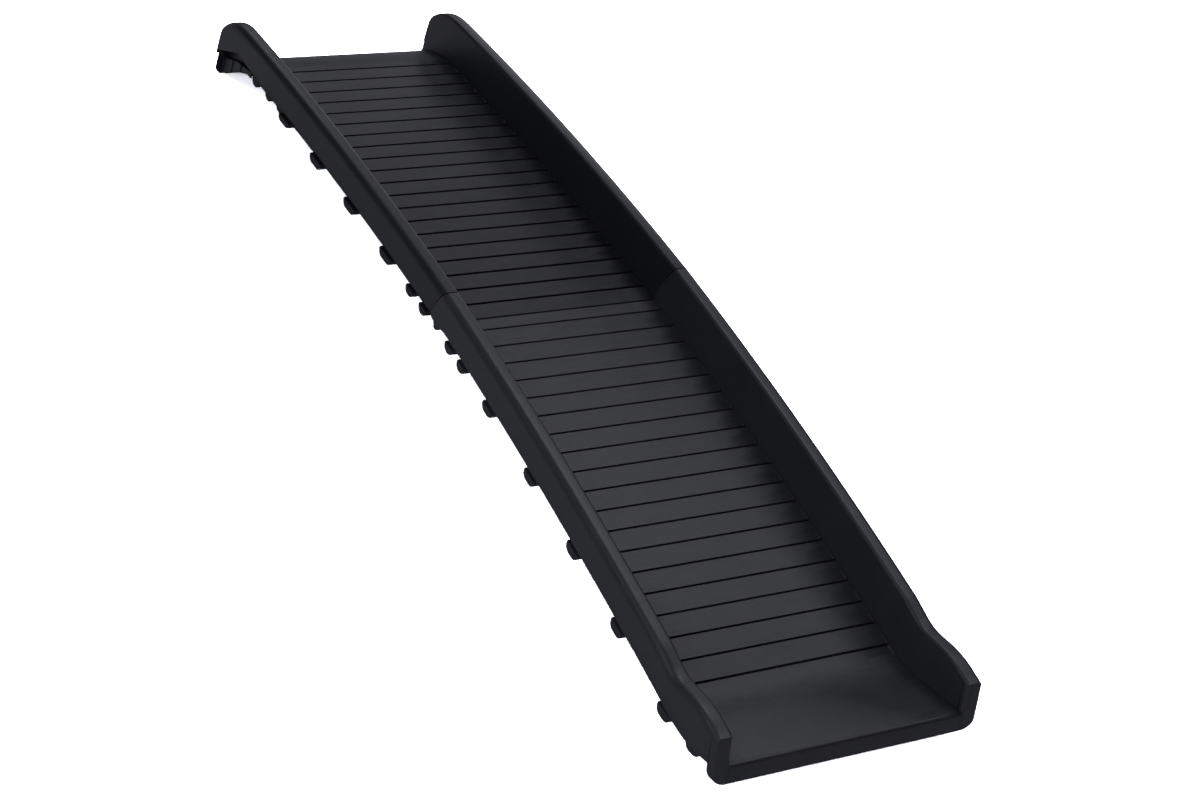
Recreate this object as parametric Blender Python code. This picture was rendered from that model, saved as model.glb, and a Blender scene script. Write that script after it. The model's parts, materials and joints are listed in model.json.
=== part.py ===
# Folding dog ramp: two moulded plastic halves on one steel hinge rod.
# Metres, +Z up. Every solid is drawn in one flat side view (distance from the
# seam, height above the walking surface at the seam) and carried across in X.
import math

import bmesh
import bpy
from mathutils import Matrix, Vector

# driving dimensions of the whole ramp
OUTER_HALF = 0.200          # half of the overall width
INNER_HALF = 0.1745         # half of the walking width between the side rails
WALL = 0.003                # moulded wall thickness
RAIL_HEIGHT = 0.0705        # rail top above the walking surface
RAIL_ROUND = 0.011          # rounding along both top edges of a rail
SKIRT_EDGE = 0.0246         # lower edge of the outer skirt above the walking surface
SEAM_GAP = 0.0002           # half of the slit between the two halves

# walking surface, drawn outwards from the seam as (length, turn in degrees)
LOWER_START = 0.0
LOWER_CROWN = 0.650
LOWER_BOW = 0.178           # turn of the bowed surface, radians per metre
APRON_TURN = (0.060, 23.8)
APRON_FLAT = 0.0820
LIP_ROUND = 0.0045
LIP_DROP = 0.0202
UPPER_START = -0.020
UPPER_CROWN = 0.6589
UPPER_BOW = 0.155
LANDING = (0.1000, -29.5)
NOSE_ROUND = 0.010
NOSE_DROP = 0.0169
UPPER_END = 0.7565          # plane of the top end face

# tread slats
LOWER_GROOVES = (0.0229, 0.0346, 19)
UPPER_GROOVES = (0.0319, 0.0330, 20)
GROOVE_WIDTH = 0.0030
GROOVE_DEPTH = 0.0022
SLAT_RISE = 0.0008
DECK_UNDERSIDE = 0.0045

# side rails: where the top line and the skirt edge leave the bow, and how they run on (length, turn)
RAIL_FRONT = 0.0400         # rail top above the front edge of the apron
LOWER_MOUTH = 0.622
LOWER_MOUTH_RUN = ((0.012, -6.3), (0.022, 0.0), (0.030, 24.5), (0.028, 0.0), (0.042, -16.0), (0.018, -10.8))
UPPER_MOUTH = 0.655
UPPER_MOUTH_RUN = ((0.022, -1.5), (0.075, -39.0))
LOWER_SKIRT_MOUTH = 0.690
LOWER_SKIRT_RUN = ((0.020, 5.0), (0.050, 20.0), (0.030, 4.0))
UPPER_SKIRT_MOUTH = 0.620
UPPER_SKIRT_RUN = ((0.020, 6.0), (0.025, 0.0), (0.022, -34.0), (0.093, 0.0))
SEAM_DIP = (0.0055, 0.048, 0.010)   # depth of the skirt dip round the hinge, its end and its lead
SEAM_KINK = 0.025           # height above which the slit between the rails leans
SEAM_LEAN = 0.018
FRONT_WALL = 0.0035         # wall of the rails and of the lip at the low end
LIP_WALL = 0.0040
LIP_CORNER = 0.0235         # rounding of the lower outer corners of the front lip
EDGE_PITCH = 0.05           # spacing of the points along a bowed line

# planes that lie clear of every outline, for the hollows
MIDWAY = 0.40
BELOW_SEAM = -0.060
BELOW_ALL = -0.150

# cross ribs under the deck: distance from the seam, depth, and where they end left and right
RIB_REACH = 0.184
LOWER_RIBS = ((0.0430, 0.0150, RIB_REACH), (0.0815, 0.0150, RIB_REACH), (0.1670, 0.0150, RIB_REACH),
              (0.2940, 0.0155, RIB_REACH), (0.4200, 0.0160, RIB_REACH), (0.5460, 0.0160, RIB_REACH),
              (0.6730, 0.0165, RIB_REACH), (0.7370, 0.0190, RIB_REACH))
UPPER_RIBS = ((0.0410, 0.0150, RIB_REACH), (0.0835, 0.0150, RIB_REACH), (0.1650, 0.0150, RIB_REACH),
              (0.2890, 0.0150, RIB_REACH), (0.4095, 0.0145, RIB_REACH), (0.5240, 0.0115, RIB_REACH),
              (0.5640, 0.0140, 0.1710), (0.6020, 0.0145, 0.1720), (0.6480, 0.0145, 0.1770))
RIB_WIDTH = 0.023
RIB_ROUND = 0.0105
RIB_TOP = 0.003
VENT_RADIUS = 0.0019
WEB_PLACES = (-0.088, 0.0, 0.088)
WEB_DEPTH = 0.0110

# hinge
AXIS_DROP = 0.0225          # hinge axis below the walking surface
BARREL_RADIUS = 0.007
PIN_RADIUS = 0.003
PIN_HALF = 0.1550
BORE_RADIUS = 0.0033
LUG_WIDTH = 0.012
LUG_GAP = 0.0005
LUG_GROUPS = (-0.132, -0.044, 0.044, 0.132)
CAP_RADIUS = 0.006
CAP_LENGTH = 0.0060
CAP_DEPTH = 0.0046
CAP_GAP = 0.0004
FLANGE_DROP = 0.008
FLANGE_THICK = 0.0035

# top end wall below the rails (half width, top, bottom, corner) and the boss in each lower rail
END_PLATE = (0.193, -0.0915, -0.1085, 0.012)
END_STEP = 0.0001           # the end wall lies this far behind the flat face of the nose
EAR_BOSS = (0.0113, 0.0152, 0.0106, 0.1920)

# turned-down top end in the side view: its lower line, the top of the cheeks and the ridges (u, top, low)
HOOK_LINE = ((0.652, -0.0495), (0.664, -0.0510), (0.694, -0.0675), (0.742, -0.1005), (0.750, -0.1050))
CHEEK_TOP = ((0.756, -0.0800), (0.700, -0.0530), (0.652, -0.0400))
CHEEK_RIDGES = ((0.688, -0.0500, -0.0635), (0.716, -0.0620, -0.0815), (0.7435, -0.0760, -0.0980))
RIDGE_HALF = 0.0015

# rubber feet: across, distance from the seam, depth of the boss, depth of the sole
FOOT_ACROSS = 0.130
LOWER_FOOT = (0.7655, 0.0215, 0.0315)
UPPER_FOOT = (0.7080, 0.0145, 0.0215)
BOSS_RADIUS = 0.011
FOOT_RADIUS = 0.0125
STEM_RADIUS = 0.004
STEM_LENGTH = 0.0090
FIT_GAP = 0.0003

# the cross rib on which the low end of the open ramp stands on a level floor
STANDING_RIB = 6


def clear_scene():
    for obj in list(bpy.data.objects):
        bpy.data.objects.remove(obj, do_unlink=True)


def walk(pieces, s, start=(0.0, 0.0, 0.0)):
    """Point and heading at length s along a chain of arcs and straights."""
    u, z, heading = start
    if s <= 0.0:
        return u + s * math.cos(heading), z + s * math.sin(heading), heading
    for length, turn in pieces:
        step = min(s, length)
        bend = turn * step / length
        middle = heading + bend / 2
        chord = step if abs(bend) < 1e-9 else 2 * step / bend * math.sin(bend / 2)
        u += chord * math.cos(middle)
        z += chord * math.sin(middle)
        heading += bend
        s -= step
        if s <= 1e-12:
            break
    if s > 1e-12:
        u += s * math.cos(heading)
        z += s * math.sin(heading)
    return u, z, heading


def raised(pieces, s, height, start=(0.0, 0.0, 0.0)):
    """Point at length s along the chain, moved square to it by height."""
    u, z, heading = walk(pieces, s, start)
    return u - height * math.sin(heading), z + height * math.cos(heading)


def chain(*pieces):
    return [(length, math.radians(turn)) for length, turn in pieces]


def spread(first, last, pitch):
    count = max(1, round(abs(last - first) / pitch))
    return [first + (last - first) * i / count for i in range(count + 1)]


def chain_stations(pieces, first, last, pitch, bend_pitch):
    """Lengths at which a chain is sampled: coarse where it runs straight, finer in its bends."""
    stations = []
    begin = 0.0
    for length, turn in list(pieces) + [(10.0, 0.0)]:
        low = max(first, begin)
        high = min(last, begin + length)
        if high > low:
            count = max(1, math.ceil((high - low) / pitch),
                        math.ceil(abs(turn) * (high - low) / length / bend_pitch))
            stations += [low + (high - low) * i / count for i in range(count)]
        begin += length
    return [s for s in stations if s < last - 1e-9] + [last]


LOWER_DECK = [(LOWER_CROWN, -LOWER_BOW * LOWER_CROWN)]
LOWER_DECK += chain(APRON_TURN, (APRON_FLAT, 0.0))
LOWER_LIP = LOWER_DECK + chain((LIP_ROUND * math.pi / 2, -90.0), (LIP_DROP, 0.0))
LOWER_BOW_ON = [(1.0, -LOWER_BOW)]     # the bow carried on past the apron, for the skirt
UPPER_DECK = [(UPPER_CROWN, -UPPER_BOW * UPPER_CROWN)] + chain(LANDING)
NOSE_TURN = 90.0 + math.degrees(UPPER_START - UPPER_BOW * UPPER_CROWN) + LANDING[1]
UPPER_NOSE = UPPER_DECK + chain((NOSE_ROUND * math.radians(NOSE_TURN), -NOSE_TURN), (NOSE_DROP, 0.0))
LOWER_ORIGIN = (0.0, 0.0, LOWER_START)
UPPER_ORIGIN = (0.0, 0.0, UPPER_START)
BEND_PITCH = math.radians(9.0)


def deck_top(grooves, rise_first, smooth_end, deck, origin):
    """Outline points of the stepped slats, from the seam to the end of the chain.

    Each slat is a thin wedge: its edge nearer the top end of the ramp stands
    proud, and a narrow slot parts it from the next one.
    """
    first, pitch, count = grooves
    low, high = (SLAT_RISE, 0.0) if rise_first else (0.0, SLAT_RISE)
    points = [(SEAM_GAP, -0.0022), (SEAM_GAP + 0.0018, low if rise_first else 0.0)]
    for i in range(count):
        s = first + pitch * i
        points += [(s - GROOVE_WIDTH / 2, high), (s - GROOVE_WIDTH / 2, -GROOVE_DEPTH)]
        points += [(s + GROOVE_WIDTH / 2, -GROOVE_DEPTH)]
        points += [(s + GROOVE_WIDTH / 2, low if i < count - 1 else 0.0)]
    start = points[-1][0] + 0.004
    points += [(s, 0.0) for s in chain_stations(deck, start, smooth_end, 0.05, BEND_PITCH)]
    return [raised(deck, s, h, origin) for s, h in points]


def lower_rail_top(height):
    """Top line of a lower rail, from the seam to the front face; height is the offset above it."""
    mouth = (*raised(LOWER_DECK, LOWER_MOUTH, RAIL_HEIGHT, LOWER_ORIGIN), LOWER_START - LOWER_BOW * LOWER_MOUTH)
    run = chain(*LOWER_MOUTH_RUN)
    length = sum(piece[0] for piece in run)
    main = [raised(LOWER_DECK, s, RAIL_HEIGHT + height, LOWER_ORIGIN) for s in spread(SEAM_LEAN, LOWER_MOUTH, EDGE_PITCH)]
    bend = [raised(run, s, height, mouth) for s in chain_stations(run, 0.0, length, 0.03, BEND_PITCH)[1:]]
    return main + bend


def upper_rail_top(height):
    mouth = (*raised(UPPER_DECK, UPPER_MOUTH, RAIL_HEIGHT, UPPER_ORIGIN), UPPER_START - UPPER_BOW * UPPER_MOUTH)
    run = chain(*UPPER_MOUTH_RUN)
    straight = sum(piece[0] for piece in run)
    u, z, heading = walk(run, straight, mouth)
    radius = (UPPER_END - u) / (1 + math.sin(heading))
    turn = math.pi / 2 + heading
    run = run + [(radius * turn, -turn)]
    length = straight + radius * turn
    main = [raised(UPPER_DECK, s, RAIL_HEIGHT + height, UPPER_ORIGIN) for s in spread(-SEAM_LEAN, UPPER_MOUTH, EDGE_PITCH)]
    bend = [raised(run, s, height, mouth) for s in chain_stations(run, 0.0, length, 0.03, BEND_PITCH)[1:]]
    return main + bend


def lower_skirt_edge():
    """Lower edge of the outer skirt of the lower half; beside the seam it dips round the hinge."""
    points = []
    depth, end, lead = SEAM_DIP
    for s in spread(0.0, end, 0.006):
        dip = depth * math.sin(math.pi * min(1.0, (s + lead) / (end + lead))) ** 2
        points.append(raised(LOWER_DECK, s, SKIRT_EDGE - dip, LOWER_ORIGIN))
    points += [raised(LOWER_BOW_ON, s, SKIRT_EDGE, LOWER_ORIGIN) for s in spread(0.09, LOWER_SKIRT_MOUTH, EDGE_PITCH)]
    mouth = (*points[-1], LOWER_START - LOWER_BOW * LOWER_SKIRT_MOUTH)
    run = chain(*LOWER_SKIRT_RUN)
    length = sum(piece[0] for piece in run)
    return points + [walk(run, s, mouth)[:2] for s in chain_stations(run, 0.0, length, 0.02, BEND_PITCH)[1:]]


def upper_skirt_edge():
    points = [raised(UPPER_DECK, s, SKIRT_EDGE, UPPER_ORIGIN) for s in spread(-0.004, UPPER_SKIRT_MOUTH, EDGE_PITCH)]
    mouth = (*points[-1], UPPER_START - UPPER_BOW * UPPER_SKIRT_MOUTH)
    run = chain(*UPPER_SKIRT_RUN)
    length = sum(piece[0] for piece in run)
    return points + [walk(run, s, mouth)[:2] for s in chain_stations(run, 0.0, length, 0.03, BEND_PITCH)[1:]]


def seam_line(shift):
    """The slit between the halves in the side view: upright, then leaning towards the low end."""
    return [(shift, BELOW_SEAM / 2), (shift, SEAM_KINK), (shift - SEAM_LEAN, RAIL_HEIGHT)]


def new_object(name, mesh, collection):
    obj = bpy.data.objects.new(name, mesh)
    collection.objects.link(obj)
    return obj


def flat_solid(outline, across, sign=1.0):
    """Mesh of a side-view outline carried across X from across[0] to across[1].

    sign is +1 for the upper half and -1 for the lower half, whose distances
    from the seam run towards -Y.
    """
    curve = bpy.data.curves.new("outline", "CURVE")
    curve.dimensions = "2D"
    curve.fill_mode = "BOTH"
    spline = curve.splines.new("POLY")
    spline.points.add(len(outline) - 1)
    for point, (u, z) in zip(spline.points, outline):
        point.co = (sign * u, z, 0.0, 1.0)
    spline.use_cyclic_u = True
    curve.extrude = (across[1] - across[0]) / 2
    holder = bpy.data.objects.new("outline", curve)
    mesh = bpy.data.meshes.new_from_object(holder)
    bpy.data.objects.remove(holder)
    bpy.data.curves.remove(curve)
    turn = Matrix(((0, 0, 1, (across[0] + across[1]) / 2), (1, 0, 0, 0), (0, 1, 0, 0), (0, 0, 0, 1)))
    mesh.transform(turn)
    work = bmesh.new()
    work.from_mesh(mesh)
    bmesh.ops.remove_doubles(work, verts=work.verts, dist=1e-6)
    bmesh.ops.recalc_face_normals(work, faces=work.faces)
    for side in (-1, 1):
        caps = [face for face in work.faces if face.normal.x * side > 0.999]
        bmesh.ops.dissolve_faces(work, faces=caps, use_verts=False)
    bmesh.ops.recalc_face_normals(work, faces=work.faces)
    work.to_mesh(mesh)
    work.free()
    return mesh


def outward(mesh):
    """The same closed mesh with every face turned to look out."""
    work = bmesh.new()
    work.from_mesh(mesh)
    bmesh.ops.recalc_face_normals(work, faces=work.faces)
    work.to_mesh(mesh)
    work.free()
    return mesh


def round_top(mesh, top_points, sign, radius):
    """Round the long edges of a rail block that follow its top line."""
    keys = {(round(sign * u, 5), round(z, 5)) for u, z in top_points}
    work = bmesh.new()
    work.from_mesh(mesh)
    edges = []
    for edge in work.edges:
        on_line = all((round(v.co.y, 5), round(v.co.z, 5)) in keys for v in edge.verts)
        sideways = sorted(abs(face.normal.x) for face in edge.link_faces)
        if on_line and sideways[0] < 0.5 < sideways[1]:
            edges.append(edge)
    bmesh.ops.bevel(work, geom=edges, offset=radius, offset_type="OFFSET", segments=4,
                    profile=0.5, affect="EDGES", clamp_overlap=False)
    bmesh.ops.remove_doubles(work, verts=work.verts, dist=1e-6)
    bmesh.ops.recalc_face_normals(work, faces=work.faces)
    work.to_mesh(mesh)
    work.free()
    return mesh


def rod(radius, a, b, sides):
    """Mesh of a round rod between two points."""
    a = Vector(a)
    b = Vector(b)
    work = bmesh.new()
    bmesh.ops.create_cone(work, cap_ends=True, segments=sides, radius1=radius, radius2=radius,
                          depth=(b - a).length)
    turn = (b - a).to_track_quat("Z", "Y").to_matrix().to_4x4()
    bmesh.ops.transform(work, matrix=Matrix.Translation((a + b) / 2) @ turn, verts=work.verts)
    mesh = bpy.data.meshes.new("rod")
    work.to_mesh(mesh)
    work.free()
    return mesh


def stack(meshes):
    """One mesh holding several separate closed solids."""
    work = bmesh.new()
    for mesh in meshes:
        work.from_mesh(mesh)
    joined = bpy.data.meshes.new("stack")
    work.to_mesh(joined)
    work.free()
    return joined


def combine(target, mesh, operation, cutters):
    """Apply one exact boolean with a mesh operand to the target object."""
    tool = new_object("cutter", mesh, cutters)
    modifier = target.modifiers.new("combine", "BOOLEAN")
    modifier.operation = operation
    modifier.solver = "EXACT"
    modifier.object = tool
    graph = bpy.context.evaluated_depsgraph_get()
    result = bpy.data.meshes.new_from_object(target.evaluated_get(graph))
    target.modifiers.remove(modifier)
    old = target.data
    target.data = result
    bpy.data.meshes.remove(old)
    bpy.data.objects.remove(tool)


def mirrored_x(mesh):
    """Mirror image of a mesh on the other side of the centre plane."""
    copy = mesh.copy()
    copy.transform(Matrix.Diagonal((-1.0, 1.0, 1.0, 1.0)))
    return outward(copy)


def both_sides(meshes):
    return stack(list(meshes) + [mirrored_x(mesh) for mesh in meshes])


def rib_outline(deck, origin, place, depth, inset):
    """U-shaped section of a cross rib; inset shrinks it to the hollow inside."""
    half = RIB_WIDTH / 2 - inset
    bottom = depth - inset
    top = DECK_UNDERSIDE if inset else RIB_TOP
    radius = min(RIB_ROUND - inset, bottom - top - 0.0005)
    points = [(-half, -top)]
    for i in range(5):
        turn = math.pi + math.pi / 2 * i / 4
        points.append((-half + radius + radius * math.cos(turn), -bottom + radius + radius * math.sin(turn)))
    for i in range(5):
        turn = 1.5 * math.pi + math.pi / 2 * i / 4
        points.append((half - radius + radius * math.cos(turn), -bottom + radius + radius * math.sin(turn)))
    points.append((half, -top))
    u, z, heading = walk(deck, place, origin)
    cos, sin = math.cos(heading), math.sin(heading)
    return [(u + a * cos - b * sin, z + a * sin + b * cos) for a, b in points]


def lug_outline():
    """Hinge lug: round barrel under the seam with a gusset up to the deck and the first rib."""
    points = [(0.0005, -RIB_TOP), (0.0005, -AXIS_DROP + BARREL_RADIUS * math.sin(math.radians(86)))]
    for i in range(17):
        turn = math.radians(90 + 15 + (375 - 105) * i / 16)
        points.append((BARREL_RADIUS * math.cos(turn), -AXIS_DROP + BARREL_RADIUS * math.sin(turn)))
    points += [(0.0325, -0.0150), (0.0325, -RIB_TOP - 0.0004)]
    return points


def lug_spans(middle):
    """Where the lugs lie across the ramp: one lower lug between two upper ones in each group."""
    spans = []
    for centre in LUG_GROUPS:
        shifts = (0.0,) if middle else (-LUG_WIDTH - LUG_GAP, LUG_WIDTH + LUG_GAP)
        spans += [(centre + s - LUG_WIDTH / 2, centre + s + LUG_WIDTH / 2) for s in shifts]
    return spans


def web_outline(deck, origin, first, last, bottom):
    stations = chain_stations(deck, first, last, 0.06, BEND_PITCH)
    top = [raised(deck, s, -RIB_TOP, origin) for s in stations]
    low = [raised(deck, s, -bottom, origin) for s in stations]
    return top + low[::-1]


def foot_frame(deck, origin, place, sign, side):
    """Point on the walking surface above a foot and the direction pointing out of it."""
    u, z, heading = walk(deck, place, origin)
    point = Vector((side * FOOT_ACROSS, sign * u, z))
    down = Vector((0.0, sign * math.sin(heading), -math.cos(heading)))
    return point, down


def boss_rods(deck, origin, foot, sign, radius, first, last):
    rods = []
    for side in (-1, 1):
        point, down = foot_frame(deck, origin, foot[0], sign, side)
        rods.append(rod(radius, point + down * first, point + down * last, 24))
    return stack(rods)


def rail_shell(outline, top, hollow, hollow_top, cut, sign, cutters, parts):
    """One hollow rail as a finished mesh on the +X side."""
    block = round_top(flat_solid(outline, (INNER_HALF, OUTER_HALF), sign), top, sign, RAIL_ROUND)
    rail = new_object("rail", block, parts)
    inside = flat_solid(hollow, (INNER_HALF + WALL, OUTER_HALF - WALL), sign)
    combine(rail, round_top(inside, hollow_top, sign, RAIL_ROUND - WALL), "DIFFERENCE", cutters)
    combine(rail, flat_solid(cut, (OUTER_HALF - 0.010, OUTER_HALF + 0.010), sign), "DIFFERENCE", cutters)
    mesh = rail.data.copy()
    bpy.data.objects.remove(rail)
    return mesh


def lower_front(height, back):
    """Point on the front face plane: height above the deck edge, back = distance behind the face."""
    u, z, heading = walk(LOWER_DECK, LOWER_CROWN + APRON_TURN[0] + APRON_FLAT + LIP_ROUND, LOWER_ORIGIN)
    cos, sin = math.cos(heading), math.sin(heading)
    return u - height * sin - back * cos, z + height * cos - back * sin


def lower_rail(cutters, parts):
    seam = [(-u, z) for u, z in seam_line(-SEAM_GAP)]
    top = lower_rail_top(0.0)
    top = [seam[2]] + [p for p in top if p[0] > seam[2][0] + 0.01]
    front_top = lower_front(RAIL_FRONT, 0.0)
    top = [p for p in top if p[0] < front_top[0] - 0.012] + [front_top]
    lip = LIP_ROUND + LIP_DROP
    under = [raised(LOWER_DECK, s, -DECK_UNDERSIDE, LOWER_ORIGIN)
             for s in chain_stations(LOWER_DECK, SEAM_GAP, LOWER_CROWN + APRON_TURN[0] + 0.070, 0.05, BEND_PITCH)]
    outline = top + [lower_front(-lip, 0.0), lower_front(-lip, LIP_WALL), lower_front(-DECK_UNDERSIDE, LIP_WALL)]
    outline += under[::-1] + [(SEAM_GAP, SEAM_KINK)]
    inner = lower_rail_top(-WALL)
    first = (seam[2][0] + FLANGE_THICK + 0.0006, RAIL_HEIGHT - WALL)
    last = lower_front(RAIL_FRONT - WALL, FRONT_WALL)
    hollow_top = [first] + [p for p in inner if first[0] + 0.01 < p[0] < last[0] - 0.012] + [last]
    hollow = hollow_top + [lower_front(BELOW_SEAM, FRONT_WALL), (MIDWAY, BELOW_ALL)]
    hollow += [(SEAM_GAP + FLANGE_THICK, BELOW_SEAM), (SEAM_GAP + FLANGE_THICK, SEAM_KINK)]
    edge = [p for p in lower_skirt_edge() if p[0] < lower_front(0.0, 0.010)[0]]
    cut = [(-0.010, edge[0][1])] + edge + [lower_front(FRONT_WALL, LIP_WALL), lower_front(BELOW_SEAM, LIP_WALL)]
    cut += [(MIDWAY, BELOW_ALL), (-0.010, BELOW_SEAM)]
    return rail_shell(outline, top, hollow, hollow_top, cut, -1.0, cutters, parts)


def hook_line():
    """Bottom edge of the turned-down top end, from its foot towards the end face."""
    return list(HOOK_LINE)


def upper_rail(cutters, parts):
    seam = seam_line(SEAM_GAP)
    top = [seam[2]] + [p for p in upper_rail_top(0.0) if p[0] > seam[2][0] + 0.01]
    under = [raised(UPPER_DECK, s, -DECK_UNDERSIDE, UPPER_ORIGIN)
             for s in chain_stations(UPPER_DECK, SEAM_GAP, 0.640, 0.05, BEND_PITCH)]
    hook = [(u, z + 0.010) for u, z in hook_line()[1:4]] + [(UPPER_END, -0.0940)]
    outline = top + hook[::-1] + under[::-1] + [seam[1]]
    inner = upper_rail_top(-WALL)
    first = (seam[2][0] + FLANGE_THICK + 0.0006, RAIL_HEIGHT - WALL)
    hollow_top = [first] + [p for p in inner if p[0] > first[0] + 0.01]
    hollow = hollow_top + [(UPPER_END - WALL, BELOW_ALL), (MIDWAY, BELOW_ALL)]
    hollow += [(SEAM_GAP + FLANGE_THICK, BELOW_SEAM), (SEAM_GAP + FLANGE_THICK, SEAM_KINK)]
    edge = upper_skirt_edge()
    cut = [(-0.030, edge[0][1])] + edge + [(2 * MIDWAY, BELOW_ALL), (MIDWAY, BELOW_ALL), (-0.030, BELOW_SEAM)]
    return rail_shell(outline, top, hollow, hollow_top, cut, 1.0, cutters, parts)


def build_half(name, sign, deck_outline, rail, deck, origin, ribs, foot, extra, web_end, cutters, parts):
    """Union of deck plate, rails, ribs, webs, lugs and bosses, then the hollows and bores."""
    inner = INNER_HALF + WALL / 2
    half = new_object(name, flat_solid(deck_outline, (-inner, inner), sign), parts)
    combine(half, both_sides([rail]), "UNION", cutters)
    solids = [flat_solid(rib_outline(deck, origin, place, depth, 0.0), (-reach, reach), sign)
              for place, depth, reach in ribs]
    combine(half, stack(solids), "UNION", cutters)
    web = web_outline(deck, origin, 0.002, web_end, WEB_DEPTH)
    webs = [flat_solid(web, (x - WALL / 2, x + WALL / 2), sign) for x in WEB_PLACES]
    combine(half, stack(webs), "UNION", cutters)
    flange = [(SEAM_GAP, -RIB_TOP), (SEAM_GAP, -FLANGE_DROP), (SEAM_GAP + FLANGE_THICK, -FLANGE_DROP),
              (SEAM_GAP + FLANGE_THICK, -RIB_TOP)]
    combine(half, flat_solid(flange, (-RIB_REACH, RIB_REACH), sign), "UNION", cutters)
    lugs = [flat_solid(lug_outline(), span, sign) for span in lug_spans(sign < 0)]
    combine(half, stack(lugs), "UNION", cutters)
    combine(half, boss_rods(deck, origin, foot, sign, BOSS_RADIUS, RIB_TOP, foot[1]), "UNION", cutters)
    for mesh, operation in extra:
        combine(half, mesh, operation, cutters)
    cores = [flat_solid(rib_outline(deck, origin, place, depth, WALL), (WALL - reach, reach - WALL), sign)
             for place, depth, reach in ribs]
    combine(half, stack(cores), "DIFFERENCE", cutters)
    vents = []
    for place, depth, reach in ribs:
        u, z, heading = walk(deck, place, origin)
        point = Vector((0.030, sign * u, z))
        down = Vector((0.0, sign * math.sin(heading), -math.cos(heading)))
        vents.append(rod(VENT_RADIUS, point + down * (depth - WALL - 0.002), point + down * (depth + 0.004), 12))
    combine(half, stack(vents), "DIFFERENCE", cutters)
    bore = rod(BORE_RADIUS, (-0.170, 0.0, -AXIS_DROP), (0.170, 0.0, -AXIS_DROP), 24)
    combine(half, bore, "DIFFERENCE", cutters)
    hole = boss_rods(deck, origin, foot, sign, STEM_RADIUS + FIT_GAP, foot[1] - STEM_LENGTH - FIT_GAP, foot[1] + 0.01)
    combine(half, hole, "DIFFERENCE", cutters)
    return half


def lip_corner():
    """Cutter that rounds the outer lower corner of the front lip."""
    radius = LIP_CORNER
    lip = LIP_ROUND + LIP_DROP
    points = [(OUTER_HALF + 0.002, -lip - 0.002), (OUTER_HALF + 0.002, -lip + radius)]
    for i in range(9):
        turn = math.pi / 2 * i / 8
        points.append((OUTER_HALF - radius + radius * math.cos(turn), -lip + radius - radius * math.sin(turn)))
    points.append((OUTER_HALF - radius, -lip - 0.002))
    work = bmesh.new()
    rings = []
    for back in (-0.010, 0.012):
        ring = []
        for x, height in points:
            u, z = lower_front(height, back)
            ring.append(work.verts.new((x, -u, z)))
        rings.append(ring)
    count = len(points)
    for i in range(count):
        j = (i + 1) % count
        work.faces.new((rings[0][i], rings[0][j], rings[1][j], rings[1][i]))
    work.faces.new(rings[0][::-1])
    work.faces.new(rings[1])
    bmesh.ops.recalc_face_normals(work, faces=work.faces)
    mesh = bpy.data.meshes.new("corner")
    work.to_mesh(mesh)
    work.free()
    return mesh


def end_plate(end_u):
    """Lower part of the top end wall, wider than the ribs, with rounded lower corners."""
    half, top, low, radius = END_PLATE
    points = [(half, top)]
    for i in range(7):
        turn = math.pi / 2 * i / 6
        points.append((half - radius + radius * math.cos(turn), low + radius - radius * math.sin(turn)))
    points += [(-x, z) for x, z in reversed(points)]
    plate = flat_solid(points, (end_u - WALL, end_u - END_STEP), 1.0)
    plate.transform(Matrix(((0, 1, 0, 0), (1, 0, 0, 0), (0, 0, 1, 0), (0, 0, 0, 1))))
    return outward(plate)


def build_lower_half(cutters, parts):
    apron_end = LOWER_CROWN + APRON_TURN[0] + APRON_FLAT
    lip_end = apron_end + LIP_ROUND * math.pi / 2 + LIP_DROP
    top = deck_top(LOWER_GROOVES, True, apron_end, LOWER_DECK, LOWER_ORIGIN)
    bend = [raised(LOWER_LIP, s, 0.0, LOWER_ORIGIN)
            for s in chain_stations(LOWER_LIP, apron_end, lip_end, 0.05, math.radians(18))][1:]
    inside = [lower_front(-LIP_ROUND - LIP_DROP, LIP_WALL), lower_front(-DECK_UNDERSIDE, LIP_WALL)]
    under = [raised(LOWER_DECK, s, -DECK_UNDERSIDE, LOWER_ORIGIN)
             for s in chain_stations(LOWER_DECK, SEAM_GAP, apron_end - 0.006, 0.05, BEND_PITCH)]
    outline = top + bend + inside + under[::-1]
    rail = lower_rail(cutters, parts)
    place, height, radius, reach = EAR_BOSS
    boss = rod(radius, (INNER_HALF + 0.001, -place, height), (reach, -place, height), 20)
    extra = [(both_sides([lip_corner()]), "DIFFERENCE"), (both_sides([boss]), "UNION")]
    return build_half("lower_half", -1.0, outline, rail, LOWER_DECK, LOWER_ORIGIN, LOWER_RIBS,
                      LOWER_FOOT, extra, apron_end - 0.001, cutters, parts)


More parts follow.
